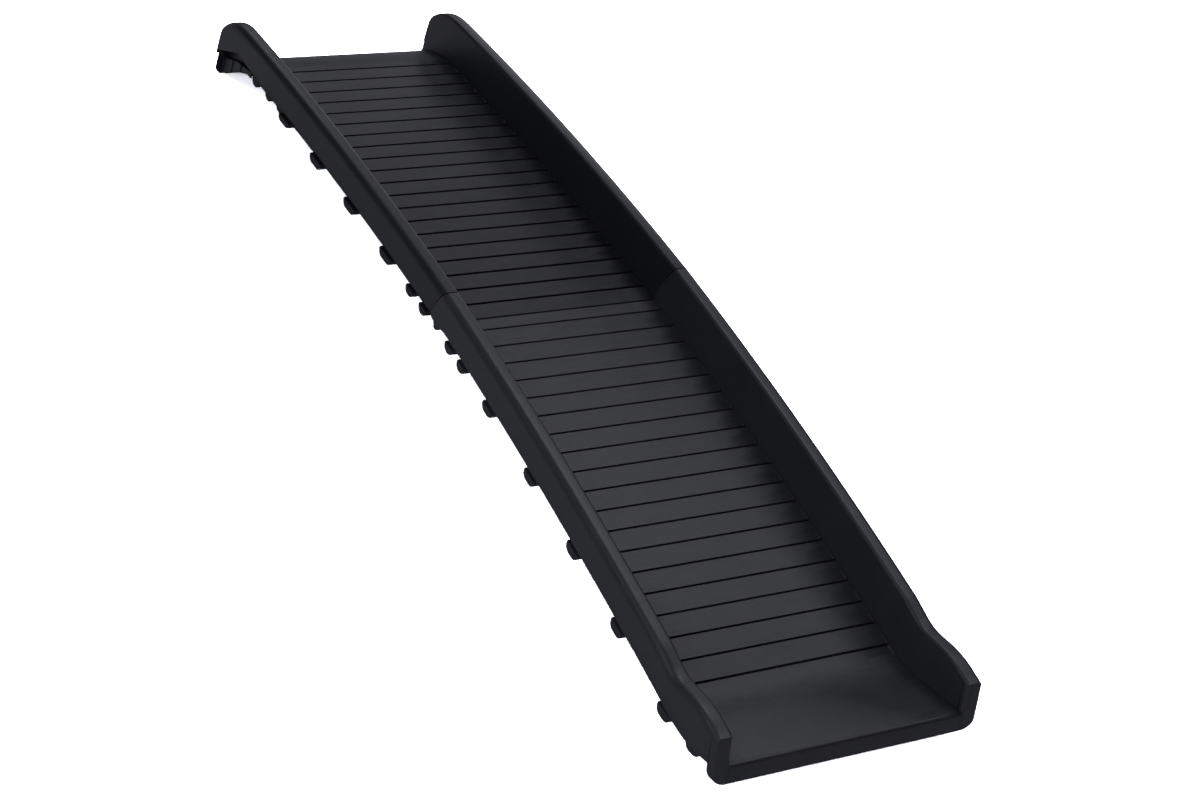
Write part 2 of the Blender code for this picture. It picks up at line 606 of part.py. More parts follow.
def build_upper_half(cutters, parts):
    landing_end = UPPER_CROWN + LANDING[0]
    nose_end = landing_end + NOSE_ROUND * math.radians(NOSE_TURN) + NOSE_DROP
    top = deck_top(UPPER_GROOVES, False, landing_end, UPPER_DECK, UPPER_ORIGIN)
    bend = [raised(UPPER_NOSE, s, 0.0, UPPER_ORIGIN)
            for s in chain_stations(UPPER_NOSE, landing_end, nose_end, 0.05, math.radians(12))][1:]
    inner_nose = [raised(UPPER_NOSE, s, -DECK_UNDERSIDE, UPPER_ORIGIN)
                  for s in chain_stations(UPPER_NOSE, SEAM_GAP, nose_end, 0.05, math.radians(12))]
    outline = top + bend + inner_nose[::-1]
    end_u = bend[-1][0]
    rail = upper_rail(cutters, parts)
    extra = [(end_plate(end_u), "UNION")]
    line = hook_line()
    cheek = line + [(end_u - 0.001, -0.1070)] + list(CHEEK_TOP)
    cheeks = flat_solid(cheek, (RIB_REACH - WALL, RIB_REACH), 1.0)
    extra.append((both_sides([cheeks]), "UNION"))
    ridges = []
    for u, top_z, low_z in CHEEK_RIDGES:
        ridge = [(u - RIDGE_HALF, top_z), (u - RIDGE_HALF, low_z)]
        ridge += [(u + RIDGE_HALF, low_z - 0.001), (u + RIDGE_HALF, top_z)]
        ridges.append(flat_solid(ridge, (INNER_HALF + 0.001, RIB_REACH + RIDGE_HALF), 1.0))
    extra.append((both_sides(ridges), "UNION"))
    return build_half("upper_half", 1.0, outline, rail, UPPER_DECK, UPPER_ORIGIN, UPPER_RIBS,
                      UPPER_FOOT, extra, landing_end - 0.002, cutters, parts)


def build_pin(parts):
    pin = new_object("hinge_pin", rod(PIN_RADIUS, (-PIN_HALF, 0.0, -AXIS_DROP), (PIN_HALF, 0.0, -AXIS_DROP), 24), parts)
    return pin


def build_cap(name, side, cutters, parts):
    """Push-on cap over one end of the hinge pin."""
    outer_lug = LUG_GROUPS[-1] + LUG_WIDTH * 1.5 + LUG_GAP
    inner_face = outer_lug + CAP_GAP
    cap = new_object(name, rod(CAP_RADIUS, (side * inner_face, 0.0, -AXIS_DROP),
                               (side * (inner_face + CAP_LENGTH), 0.0, -AXIS_DROP), 24), parts)
    bore = rod(PIN_RADIUS + FIT_GAP / 2, (side * (inner_face - 0.001), 0.0, -AXIS_DROP),
               (side * (inner_face + CAP_DEPTH), 0.0, -AXIS_DROP), 24)
    combine(cap, bore, "DIFFERENCE", cutters)
    return cap


def build_foot(name, deck, origin, foot, sign, side, parts):
    """Rubber foot: a round sole with a stem pushed up into its boss, turned about its own axis."""
    point, down = foot_frame(deck, origin, foot[0], sign, side)
    sole_top = foot[1] + FIT_GAP
    sole = foot[2]
    profile = [(0.0, foot[1] - STEM_LENGTH), (STEM_RADIUS, foot[1] - STEM_LENGTH), (STEM_RADIUS, sole_top)]
    profile += [(FOOT_RADIUS, sole_top), (FOOT_RADIUS, sole - 0.0020), (FOOT_RADIUS - 0.0006, sole - 0.0006)]
    profile += [(FOOT_RADIUS - 0.0020, sole), (0.0, sole)]
    work = bmesh.new()
    verts = [work.verts.new((r, 0.0, -d)) for r, d in profile]
    edges = [work.edges.new(pair) for pair in zip(verts, verts[1:])]
    bmesh.ops.spin(work, geom=verts + edges, axis=(0, 0, 1), cent=(0, 0, 0), angle=2 * math.pi,
                   steps=24, use_merge=True)
    bmesh.ops.remove_doubles(work, verts=work.verts, dist=1e-6)
    bmesh.ops.recalc_face_normals(work, faces=work.faces)
    turn = (-down).to_track_quat("Z", "Y").to_matrix().to_4x4()
    bmesh.ops.transform(work, matrix=Matrix.Translation(point) @ turn, verts=work.verts)
    mesh = bpy.data.meshes.new(name)
    work.to_mesh(mesh)
    work.free()
    return new_object(name, mesh, parts)


def plastic(name, colour, roughness, metallic):
    material = bpy.data.materials.new(name)
    material.use_nodes = True
    shader = material.node_tree.nodes["Principled BSDF"]
    shader.inputs["Base Color"].default_value = (*colour, 1.0)
    shader.inputs["Roughness"].default_value = roughness
    shader.inputs["Metallic"].default_value = metallic
    return material


def finish(obj, material, smooth):
    obj.data.materials.clear()
    obj.data.materials.append(material)
    for face in obj.data.polygons:
        face.use_smooth = smooth


def stand(objects):
    """Empty on the hinge axis that carries every piece, turned so that the open ramp stands level.

    It rests on one cross rib of the lower half and on the lower edge of the
    top end wall; the origin is the middle of the overall box, at floor level.
    """
    place, depth, reach = LOWER_RIBS[STANDING_RIB]
    low_u, low_z = raised(LOWER_DECK, place, -depth, LOWER_ORIGIN)
    high_z = END_PLATE[2]
    tilt = Matrix.Rotation(math.atan2(low_z - high_z, UPPER_END + low_u), 4, "X")
    axis = Matrix.Translation((0.0, 0.0, AXIS_DROP))
    points = []
    for obj in objects:
        points += [tilt @ vertex.co for vertex in obj.data.vertices]
        obj.data.transform(axis)
    ends = [point.y for point in points]
    floor = min(point.z for point in points)
    holder = bpy.data.objects.new("hinge_axis", None)
    objects[0].users_collection[0].objects.link(holder)
    move = Matrix.Translation((0.0, -(min(ends) + max(ends)) / 2, -floor))
    holder.matrix_world = move @ tilt @ axis.inverted()
    for obj in objects:
        obj.parent = holder
    return holder


def main():
    clear_scene()
    scene = bpy.context.scene
    parts = bpy.data.collections.new("folding_dog_ramp")
    cutters = bpy.data.collections.new("cutters")
    scene.collection.children.link(parts)
    scene.collection.children.link(cutters)
    cutters.hide_render = True
    lower = build_lower_half(cutters, parts)
    upper = build_upper_half(cutters, parts)
    pin = build_pin(parts)
    caps = [build_cap("hinge_cap_left", -1, cutters, parts), build_cap("hinge_cap_right", 1, cutters, parts)]
    feet = []
    for side, word in ((-1, "left"), (1, "right")):
        feet.append(build_foot("floor_foot_" + word, LOWER_DECK, LOWER_ORIGIN, LOWER_FOOT, -1.0, side, parts))
        feet.append(build_foot("sill_pad_" + word, UPPER_DECK, UPPER_ORIGIN, UPPER_FOOT, 1.0, side, parts))
    stand([lower, upper, pin] + caps + feet)
    finish(lower, plastic("lower_moulding", (0.045, 0.046, 0.052), 0.55, 0.0), False)
    finish(upper, plastic("upper_moulding", (0.040, 0.041, 0.047), 0.55, 0.0), False)
    finish(pin, plastic("steel_rod", (0.55, 0.56, 0.58), 0.30, 1.0), True)
    for cap in caps:
        finish(cap, plastic("cap_" + cap.name, (0.030, 0.030, 0.032), 0.45, 0.0), False)
    for foot in feet:
        finish(foot, plastic("rubber_" + foot.name, (0.020, 0.020, 0.021), 0.85, 0.0), False)
    bpy.data.collections.remove(cutters)


main()
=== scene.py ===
"""Folding dog ramp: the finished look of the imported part, written as a Blender add-on."""
import json
import math

import bpy
import numpy as np
from mathutils import Euler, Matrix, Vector


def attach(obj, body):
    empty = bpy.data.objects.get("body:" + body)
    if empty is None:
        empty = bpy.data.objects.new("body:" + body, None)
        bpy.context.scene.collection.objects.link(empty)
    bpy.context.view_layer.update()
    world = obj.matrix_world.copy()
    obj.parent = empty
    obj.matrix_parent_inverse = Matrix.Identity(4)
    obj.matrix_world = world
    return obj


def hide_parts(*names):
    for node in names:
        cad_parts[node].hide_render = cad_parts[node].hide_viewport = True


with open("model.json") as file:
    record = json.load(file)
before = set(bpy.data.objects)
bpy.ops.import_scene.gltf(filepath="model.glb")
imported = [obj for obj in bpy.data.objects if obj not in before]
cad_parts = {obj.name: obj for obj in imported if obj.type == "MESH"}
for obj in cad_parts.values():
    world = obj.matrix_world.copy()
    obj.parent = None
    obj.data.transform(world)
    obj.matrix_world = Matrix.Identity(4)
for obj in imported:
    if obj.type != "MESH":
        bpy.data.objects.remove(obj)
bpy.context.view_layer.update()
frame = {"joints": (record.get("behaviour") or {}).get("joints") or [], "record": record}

bl_info = {
    "name": "Folding dog ramp",
    "version": (1, 0, 0),
    "blender": (4, 5, 0),
    "location": "3D view > Sidebar > Ramp",
    "description": "Builds the moulded halves, hinge, rubber feet and studio of a folding dog ramp",
    "category": "Object",
}

# camera of the photo, in metres and degrees, solved from the rails and the slat rows
CAMERA_PLACE = (-1.77668, -2.20021, 2.01204)
CAMERA_TURN = (54.4896, -13.0294, -26.1572)
CAMERA_LENS = 73.655
CAMERA_SHIFT = (0.1398, -0.0940)

# section of the moulding
OUTER_HALF = 0.19995
INNER_HALF = 0.1745
WALL = 0.003
RAIL_HEIGHT = 0.0704
RAIL_ROUND = 0.011  # rounding of a rail's outer top edge
RAIL_INNER = 0.5  # the inner top edge is rounded by this share of it
# rows of points up a rail's walls, as shares of their height
OUTER_ROWS = (0.0, 0.02, 0.5, 1.0)
INNER_ROWS = (0.0, 0.46, 0.73, 1.0)
SEAM_GAP = 0.0002
SEAM_KINK = 0.025
SEAM_LEAN = 0.018
FADE_LENGTH = 0.060  # distance from the seam over which the lean of the slit dies out

# bowed lines of the two halves, outwards from the seam as (length, turn in degrees)
LOWER_BOW = 0.178
UPPER_BOW = 0.155
LOWER_CROWN = 0.650
UPPER_CROWN = 0.6589
LOWER_START = (0.0, 0.0, 0.0)
UPPER_START = (0.0, 0.0, -0.020)
LIP_ROUND = 0.0045
LIP_DROP = 0.0202
NOSE_ROUND = 0.010
NOSE_DROP = 0.0169
UPPER_END = 0.7565
RAIL_FRONT = 0.0400  # height of a rail's low end over the apron
FRONT_WALL = 0.0090  # wall that closes the low end of a rail
FRONT_ROUND = 0.0070  # rounding of the upright edges of that wall
FRONT_EDGE = 0.0010  # rounding of its top edge
FRONT_TOP = 0.0090  # rounding of the rail's top edges where they reach it
FRONT_LAP = 0.0010  # reach of that wall over the bevelled end of the rail
FRONT_PROUD = 0.00005  # its top stands this much above the rail there
FRONT_FADE = (0.001, 0.008)  # its inner upright rounding: height where it starts, height it takes to grow
LIP_WALL = 0.0040
LIP_CORNER = 0.0235
DECK_UNDERSIDE = 0.0045
SKIRT_EDGE = 0.0246
AXIS_DROP = 0.0225

LOWER_DECK = [(LOWER_CROWN, -math.degrees(LOWER_BOW * LOWER_CROWN)), (0.060, 23.8), (0.0820, 0.0)]
LOWER_LENGTH = sum(piece[0] for piece in LOWER_DECK)
LOWER_LIP = LOWER_DECK + [(LIP_ROUND * math.pi / 2, -90.0), (LIP_DROP, 0.0)]
UPPER_DECK = [(UPPER_CROWN, -math.degrees(UPPER_BOW * UPPER_CROWN)), (0.1000, -29.5)]
UPPER_LENGTH = sum(piece[0] for piece in UPPER_DECK)
# each half: line of its deck, where that begins, side of the seam
LOWER = (LOWER_DECK, LOWER_START, -1.0)
UPPER = (UPPER_DECK, UPPER_START, 1.0)
NOSE_TURN = 90.0 + math.degrees(UPPER_START[2]) + sum(piece[1] for piece in UPPER_DECK)
UPPER_NOSE = UPPER_DECK + [(NOSE_ROUND * math.radians(NOSE_TURN), -NOSE_TURN), (NOSE_DROP, 0.0)]
# ends of the rails' top lines and skirt edges: distance from the seam, then their pieces
LOWER_MOUTH = (0.622, ((0.012, -6.3), (0.022, 0.0), (0.030, 24.5), (0.020, 0.0), (0.046, -20.0),
                       (0.030, -8.0)))
UPPER_MOUTH = (0.655, ((0.022, -1.5), (0.075, -39.0)))
LOWER_SKIRT = (0.690, ((0.020, 5.0), (0.050, 20.0), (0.030, 4.0)))
UPPER_SKIRT = (0.620, ((0.020, 6.0), (0.025, 0.0), (0.022, -29.5), (0.093, 0.0)))
# dip of the lower skirt edge at the seam: depth, end, length hidden behind the seam
SEAM_DIP = (0.0055, 0.048, 0.010)
# stations of a lower rail before its rounding changes, and over which it does
FADE_ROWS = (60, 20)
MOUTH_STOP = 0.012  # the curved top line stops this far behind the front face
SKIRT_STOP = 0.010  # so does the skirt edge
SKIRT_FOOT = 0.0035  # height at which the skirt edge meets the front wall
INNER_FOOT = 0.0005 - DECK_UNDERSIDE  # the inner wall of a rail ends half a millimetre inside the deck
END_CLEAR = 0.0005  # clearance of the lines under a rail from its rounded end

# grooves between the slats: place of the first one, pitch, count, width, strength of the painted shade in
# them
LOWER_GROOVES = (0.0229, 0.0346, 19, 0.0038, 0.6)
UPPER_GROOVES = (0.0319, 0.0330, 20, 0.0052, 1.0)
GROOVE_DEPTH = 0.0032
GROOVE_CORNER = 0.0006  # a groove is this much deeper beside the walls
SLAT_RISE = 0.0008  # step from one slat to the next
SEAM_STEP = (0.0018, 0.0022)  # step at the seam: length and depth
PLAIN_CLEAR = 0.004  # the rows of the plain stretch start this far past the last groove
# the moulded ledge beside each wall, as distance from the wall and height
LEDGE = ((0.0034, -0.0010), (0.0020, 0.0011), (0.0010, 0.0011), (0.0003, -0.0004), (-0.0012, -0.0004))
LEDGE_PLAIN = 0.5  # share of its height that is left beside the plain stretch
NO_LEDGE = -1.0  # a height under everything, between the ledges
GUTTER_WIDTH = 0.0008
LEDGE_WIDTH = 0.0050

# cross ribs: distance from the seam, depth, width, half length where it isn't RIB_REACH
RIB_REACH = 0.184
NARROW, BROAD, WIDE = 0.023, 0.029, 0.037
LOWER_RIBS = ((0.0430, 0.0150, NARROW), (0.0815, 0.0150, NARROW), (0.1650, 0.0150, BROAD),
              (0.2920, 0.0155, BROAD), (0.4180, 0.0160, BROAD), (0.5440, 0.0160, BROAD),
              (0.6710, 0.0165, BROAD), (0.7350, 0.0197, BROAD))
UPPER_RIBS = ((0.0410, 0.0150, NARROW), (0.0835, 0.0150, NARROW), (0.1650, 0.0150, WIDE),
              (0.2890, 0.0150, WIDE), (0.4095, 0.0150, WIDE), (0.5260, 0.0125, WIDE),
              (0.5640, 0.0140, NARROW, 0.1740), (0.6020, 0.0145, NARROW, 0.1760),
              (0.6480, 0.0145, NARROW, 0.1780))
RIB_ROUND = 0.0105
RIB_TOP = 0.003
RIB_CLEAR = 0.0005  # straight stretch left above the rounding
RIB_END_ROUND = 0.0012
WEB_PLACES = (-0.088, 0.0, 0.088)
WEB_DEPTH = 0.0110
WEB_CLEAR = 0.002  # the webs stop this far from both ends of the deck

# hinge under the seam
BARREL_RADIUS = 0.007
PIN_RADIUS = 0.003
PIN_HALF = 0.1550
LUG_WIDTH = 0.012
LUG_GAP = 0.0005
LUG_GROUPS = (-0.132, -0.044, 0.044, 0.132)
CAP_RADIUS = 0.006
CAP_LENGTH = 0.0060
CAP_GAP = 0.0004
FLANGE_DROP = 0.008
FLANGE_THICK = 0.0035
LUG_GUSSET = (0.0325, 0.0150)  # reach and depth of the gusset behind a lug
EAR_BOSS = (0.0113, 0.0152, 0.0106, 0.1920)  # boss in the rail: place, height, radius, outer end
ROOT_DEPTH = 0.001  # bosses and ridges are rooted this far into a rail's inner wall

# top end wall: half width, top, bottom, corner radius; then the turned-down end in the side view
END_PLATE = (0.193, -0.0915, -0.1084, 0.012)
END_STRIP_TOP = -0.0600
HOOK_LINE = ((0.652, -0.0495), (0.664, -0.0510), (0.694, -0.0675), (0.742, -0.1005), (0.7497, -0.1050))
CHEEK_TOP = ((0.652, -0.0400), (0.700, -0.0530), (0.7497, -0.0770))
HOOK_WALL_TOP = ((0.652, -0.0440), (0.700, -0.0560), (0.7497, -0.0820))
HOOK_WALL_RISE = 0.0100  # the inner wall ends this far above the line
HOOK_WALL_LEAST = 0.0005
HOOK_WALL_CLEAR = 0.00005  # it stands back this far from the rail's face
CHEEK_RIDGES = ((0.688, -0.0500, -0.0635), (0.716, -0.0620, -0.0815), (0.7435, -0.0760, -0.0980))
RIDGE_HALF = 0.0015
RIDGE_FALL = 0.001
STRIP_ROOT = 0.002
NOSE_CLEAR = 0.0001  # the end wall lies this far behind the nose

# rubber feet: distance from the seam, depth of the boss, depth of the sole
FOOT_ACROSS = 0.130
LOWER_FOOT = (0.7655, 0.0215, 0.0315)
UPPER_FOOT = (0.7080, 0.0145, 0.0215)
BOSS_RADIUS = 0.011
FOOT_RADIUS = 0.0125
STEM_RADIUS = 0.004
STEM_LENGTH = 0.0090
SOLE_GAP = 0.0003

# small roundings of turned pieces
BOSS_EDGE = 0.0006
EAR_EDGE = 0.0008
ROD_EDGE = 0.0004
CAP_EDGE = 0.0009
SOLE_EDGE = 0.0012

# sizes of the patterns in the materials
GRAIN = 0.00035
CLOUD = 0.060
SCUFF = (0.018, 0.0011)
BUMP_HEIGHT = 0.00012
TURNING_LINES = (0.0004, 0.02)
BLOOM = 0.006
RUBBER_GRAIN = 0.0005

SMOOTH_ANGLE = math.radians(32)

# studio: soft boxes by azimuth from +X towards +Y and elevation in degrees, as shares of the light
BOX_DISTANCE = 4.0
BOX_SIZE = 1.6
BOX_TARGET = (0.0, 0.0, 0.1)
SOFT_BOXES = (
    ("low_back_box", 50, 13, 0.115), ("far_back_box", 80, 25, 0.105), ("high_back_box", 50, 61, 0.265),
    ("right_box", 10, 50, 0.120), ("left_box", 180, 20, 0.030), ("high_left_box", 180, 50, 0.120),
    ("front_box", 225, 25, 0.245))
FLOOR_HALF = 30.0


def along(pieces, s, start):
    """Places and headings at lengths s of a chain of arcs: chord = step sin(bend/2) / (bend/2)."""
    s = np.atleast_1d(np.asarray(s, float))
    lengths = np.array([piece[0] for piece in pieces] + [1.0])
    turns = np.radians([piece[1] for piece in pieces] + [0.0])
    heads = start[2] + np.concatenate([[0.0], np.cumsum(turns)[:-1]])
    begins = np.concatenate([[0.0], np.cumsum(lengths)[:-1]])
    chords = lengths * np.sinc(turns / 2 / np.pi)
    u = start[0] + np.concatenate([[0.0], np.cumsum(chords * np.cos(heads + turns / 2))[:-1]])
    z = start[1] + np.concatenate([[0.0], np.cumsum(chords * np.sin(heads + turns / 2))[:-1]])
    i = np.clip(np.searchsorted(begins, s, side="right") - 1, 0, len(lengths) - 1)
    step = s - begins[i]
    bend = turns[i] * step / lengths[i]
    chord = step * np.sinc(bend / 2 / np.pi)
    middle = heads[i] + bend / 2
    return u[i] + chord * np.cos(middle), z[i] + chord * np.sin(middle), heads[i] + bend


def raised(pieces, s, height, start):
    """Rows (u, z, heading) at lengths s, moved square to the chain by height."""
    u, z, heading = along(pieces, s, start)
    return np.stack([u - height * np.sin(heading), z + height * np.cos(heading), heading], axis=1)


def carried_on(pieces, count, row):
    """The whole chain at count even places, begun at a row (u, z, heading)."""
    return raised(pieces, np.linspace(0.0, sum(piece[0] for piece in pieces), count), 0.0, tuple(row))


def resampled(line, count):
    """The line of rows (u, z, heading) at count equal steps of its own length."""
    steps = np.hypot(np.diff(line[:, 0]), np.diff(line[:, 1]))
    run = np.concatenate([[0.0], np.cumsum(steps)])
    places = np.linspace(0.0, run[-1], count)
    return np.stack([np.interp(places, run, line[:, i]) for i in range(line.shape[1])], axis=1)


def straight_to(line, point):
    """The line carried straight on to the point; its last row is repeated with the new heading."""
    u, z = (float(value[0]) for value in point)
    heading = math.atan2(z - line[-1, 1], u - line[-1, 0])
    return np.vstack([line, [line[-1, 0], line[-1, 1], heading], [u, z, heading]])


def stand(u, z, x, sign):
    """World points of side-view points (u, z) at x: turned about X by the lean of the part at rest."""
    joint = frame["joints"][0]["pos_m"]
    end = next(m for m in frame["record"]["mounts"] if m["name"] == "top_end_right_face")["axis"]
    y, h = sign * u, z + AXIS_DROP
    forward = y * end[1] - h * end[2] + joint[1]
    up = y * end[2] + h * end[1] + joint[2]
    return np.stack([x + joint[0], forward, up], axis=-1)


def loft(rings):
    """Closed solid of equal rings (stations, around, 3); strips between facing points close both ends."""
    stations, around = rings.shape[:2]
    index = np.arange(stations * around).reshape(stations, around)
    nxt = np.roll(index, -1, axis=1)
    sides = np.stack([index[:-1], nxt[:-1], nxt[1:], index[1:]], axis=-1).reshape(-1, 4)
    half = np.arange(around // 2 - 1)
    strip = np.stack([half, around - 1 - half, around - 2 - half, half + 1], axis=-1)
    return rings.reshape(-1, 3), np.vstack([sides, index[0][strip], index[-1][strip][:, ::-1]])


def trough(outer, inner):
    """Closed solid of an open section: outer and inner grids, both with end walls, joined along the rim."""
    stations, across = outer.shape[:2]
    faces = []
    index = np.arange(2 * stations * across).reshape(2, stations, across)
    half = np.arange(across // 2 - 1)
    strip = np.stack([half, across - 1 - half, across - 2 - half, half + 1], axis=-1)
    for grid, flip in ((index[0], 1), (index[1], -1)):
        corners = [grid[:-1, :-1], grid[:-1, 1:], grid[1:, 1:], grid[1:, :-1]]
        sides = np.stack(corners, axis=-1).reshape(-1, 4)
        faces += [sides[:, ::flip], grid[0][strip][:, ::flip], grid[-1][strip][:, ::-flip]]
    a, b = index
    for col, flip in ((0, 1), (-1, -1)):
        rim = np.stack([a[:-1, col], a[1:, col], b[1:, col], b[:-1, col]], axis=-1)
        faces.append(rim[:, ::flip])
    for row, flip in ((0, -1), (-1, 1)):
        rim = np.array([[a[row, 0], a[row, -1], b[row, -1], b[row, 0]]])
        faces.append(rim[:, ::flip])
    return np.concatenate([outer.reshape(-1, 3), inner.reshape(-1, 3)]), np.vstack(faces)


def outward(points, faces):
    """Faces turned so that the signed volume, the sum of a . (b x c) / 6, is positive."""
    a, b, c, d = (points[faces[:, i]] for i in range(4))
    volume = np.einsum("ij,ij->", a, np.cross(b, c)) + np.einsum("ij,ij->", a, np.cross(c, d))
    return faces if volume > 0 else faces[:, ::-1]


def build_object(name, solids, body, node, slot, material, edge, shade=None):
    """One shown object of several closed solids that rides on a body and stands for a CAD node.

    shade, one value a point, is painted shade: it tells the material how much to darken the point, which is
    above 0 only in a groove.
    """
    points, faces, count = [], [], 0
    for solid_points, solid_faces in solids:
        points.append(solid_points)
        faces.append(outward(solid_points, solid_faces) + count)
        count += len(solid_points)
    mesh = bpy.data.meshes.new(name)
    mesh.from_pydata(np.concatenate(points).tolist(), [], np.concatenate(faces).tolist())
    mesh.shade_smooth()
    mesh.set_sharp_from_angle(angle=SMOOTH_ANGLE)
    mesh.materials.append(material)
    # painted shade for the grooves, stored as the groove attribute
    if shade is not None:
        mesh.attributes.new("groove", "FLOAT", "POINT").data.foreach_set("value", shade.astype(np.float32))
    obj = bpy.data.objects.new(name, mesh)
    bpy.context.scene.collection.objects.link(obj)
    if edge:
        bevel = obj.modifiers.new("moulded edges", "BEVEL")
        bevel.width = edge
        bevel.segments = 3
        bevel.limit_method = "ANGLE"
        bevel.angle_limit = SMOOTH_ANGLE
        bevel.harden_normals = True
    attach(obj, body)
    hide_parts(node)


def both(solid):
    """A solid and its mirror image on the other side of the walkway."""
    points, faces = solid
    return [solid, (points * np.array([-1.0, 1.0, 1.0]), faces)]


def ring_at(ring, x, sign):
    """World points of side-view points (u, z) that share one place across the ramp."""
    return stand(ring[:, 0], ring[:, 1], np.full(len(ring), x), sign)


def prism(ring, xs, sign):
    """Solid of a side-view ring carried across X."""
    return loft(np.stack([ring_at(ring, x, sign) for x in xs]))


def plate(top, low, xs, sign):
    """Solid between two side-view lines of equal count, carried across X."""
    return prism(np.vstack([top[:, :2], low[::-1, :2]]), xs, sign)


def turned(profile, start, direction, sides=48):
    """Solid of revolution: each (radius, distance) of the profile is a circle about the axis."""
    axis = np.asarray(direction, float)
    axis = axis / np.linalg.norm(axis)
    side = np.cross(axis, (0.0, 0.0, 1.0) if abs(axis[2]) < 0.9 else (1.0, 0.0, 0.0))
    side = side / np.linalg.norm(side)
    other = np.cross(axis, side)
    angle = np.linspace(0.0, 2 * np.pi, sides, endpoint=False) + np.pi / sides
    circle = np.cos(angle)[:, None] * side + np.sin(angle)[:, None] * other
    return loft(np.stack([np.asarray(start) + axis * d + circle * r for r, d in profile]))


def rounded(radius, first, last, round_edge):
    """Profile of a plain round rod from first to last with rounded rims, as (radius, distance)."""
    angle = np.linspace(0.0, np.pi / 2, 5)
    core = radius - round_edge
    rise = [(core + round_edge * math.sin(a), first + round_edge * (1 - math.cos(a))) for a in angle]
    fall = [(core + round_edge * math.cos(a), last - round_edge * (1 - math.sin(a))) for a in angle]
    return rise + fall


# the two moulded halves

def slat_rows(grooves, rise_first, length):
    """Lengths, heights and groove marks of the stepped deck and of the plain stretch after it."""
    first, pitch, count, width, _ = grooves
    low, high = (SLAT_RISE, 0.0) if rise_first else (0.0, SLAT_RISE)
    centre = first + pitch * np.arange(count)
    edge = width / 2
    s = np.stack([centre - pitch / 2, centre - edge, centre - edge, centre + edge, centre + edge], axis=1)
    h = np.tile([(low + high) / 2, high, -GROOVE_DEPTH, -GROOVE_DEPTH, low], (count, 1))
    h[-1, -1] = 0.0
    groove = np.tile([False, False, True, True, False], (count, 1))
    s[0, 0] = SEAM_GAP + SEAM_STEP[0]
    h[0, 0] = low
    plain = np.linspace(s[-1, -1] + PLAIN_CLEAR, length, 48)
    s = np.concatenate([[SEAM_GAP], s.ravel(), plain])
    h = np.concatenate([[-SEAM_STEP[1]], h.ravel(), np.zeros(len(plain))])
    groove = np.concatenate([[True], groove.ravel(), np.zeros(len(plain), bool)])
    return s, h, groove


def deck_solid(half, grooves, rise_first, end_line, end_under):
    """Deck plate: height(s, x) = slat steps, raised to the ledge beside the walls, and the painted shade of
    its grooves.
    """
    chain, start, sign = half
    first, pitch, count, _, painted_shade_strength = grooves
    s, h, groove = slat_rows(grooves, rise_first, sum(piece[0] for piece in chain))
    wall, ledge = np.array(LEDGE).T
    x = INNER_HALF - wall
    between = np.linspace(-x[0], x[0], 9)[1:-1]
    x = np.concatenate([-x[::-1], between, x])
    lift = np.concatenate([ledge[::-1], np.full(len(between), NO_LEDGE), ledge])
    kept = np.where(s > first + pitch * (count - 0.5), LEDGE_PLAIN, 1.0)
    height = np.maximum(h[:, None], lift[None, :] * kept[:, None])
    gutter = np.abs(x) > INNER_HALF - GUTTER_WIDTH
    height[:, gutter] = LEDGE[-1][1]
    beside = np.abs(x) > INNER_HALF - LEDGE_WIDTH
    height[groove] = np.where(beside, -GROOVE_DEPTH - GROOVE_CORNER, -GROOVE_DEPTH)[None, :]
    u, z, heading = along(chain, s, start)
    under = raised(chain, s, -DECK_UNDERSIDE, start)
    # painted shade: points in a groove are marked for the material to darken them
    marks = np.concatenate([np.where(groove, painted_shade_strength, 0.0), np.zeros(2 * len(end_line) + len(s))])
    rings = []
    for i, place in enumerate(x):
        top = np.stack([u - height[:, i] * np.sin(heading), z + height[:, i] * np.cos(heading)], axis=1)
        ring = np.vstack([top, end_line[:, :2], end_under[::-1, :2], under[::-1, :2]])
        rings.append(ring_at(ring, place, sign))
    return loft(np.stack(rings)), np.tile(marks, len(x))


def lower_end(behind, height):
    """Point of the front face: height above the apron's edge, behind = distance back from the face."""
    u, z, heading = along(LOWER_DECK, LOWER_LENGTH + LIP_ROUND, LOWER_START)
    rise, run = np.sin(heading), np.cos(heading)
    return u - height * rise - behind * run, z + height * run - behind * rise


def front_heading():
    return float(along(LOWER_DECK, LOWER_LENGTH, LOWER_START)[2][0])


def lean(u, z, sign):
    """Places u with the slant of the slit above the kink: full at the seam, none past FADE_LENGTH."""
    slit = sign * -SEAM_LEAN * np.clip((z - SEAM_KINK) / (RAIL_HEIGHT - SEAM_KINK), 0.0, None)
    return u + slit * np.clip(1.0 - u / FADE_LENGTH, 0.0, 1.0)


def rail_section(top, foot_out, foot_in, radius, inset):
    """Inverted U at every station: up the outer wall, over two quarter rounds, down the inner wall."""
    normal = np.stack([-np.sin(top[:, 2]), np.cos(top[:, 2])], axis=1)
    places, across = [], []
    outer = (foot_out, OUTER_HALF - inset, -1, 1.0, OUTER_ROWS)
    inner = (foot_in, INNER_HALF + inset, 1, RAIL_INNER, INNER_ROWS)
    for foot, wall, turn, share, rows in (outer, inner):
        shoulder = top[:, :2] - share * radius[:, None] * normal
        reach = share * radius - inset
        side = [foot[:, :2] + (shoulder - foot[:, :2]) * row for row in rows]
        x = [np.full(len(top), wall)] * len(rows)
        for angle in np.linspace(0.0, np.pi / 2, 10)[1:]:
            side.append(shoulder + (reach * math.sin(angle))[:, None] * normal)
            x.append(wall + turn * reach * (1 - math.cos(angle)))
        places += side[::-turn]
        across += x[::-turn]
    return np.stack(places, axis=1), np.stack(across, axis=1)


def rail_grid(lines, radius, inset, sign):
    places, across = rail_section(*lines, radius, inset)
    u = lean(places[:, :, 0], places[:, :, 1], sign)
    return stand(u, places[:, :, 1], across, sign)


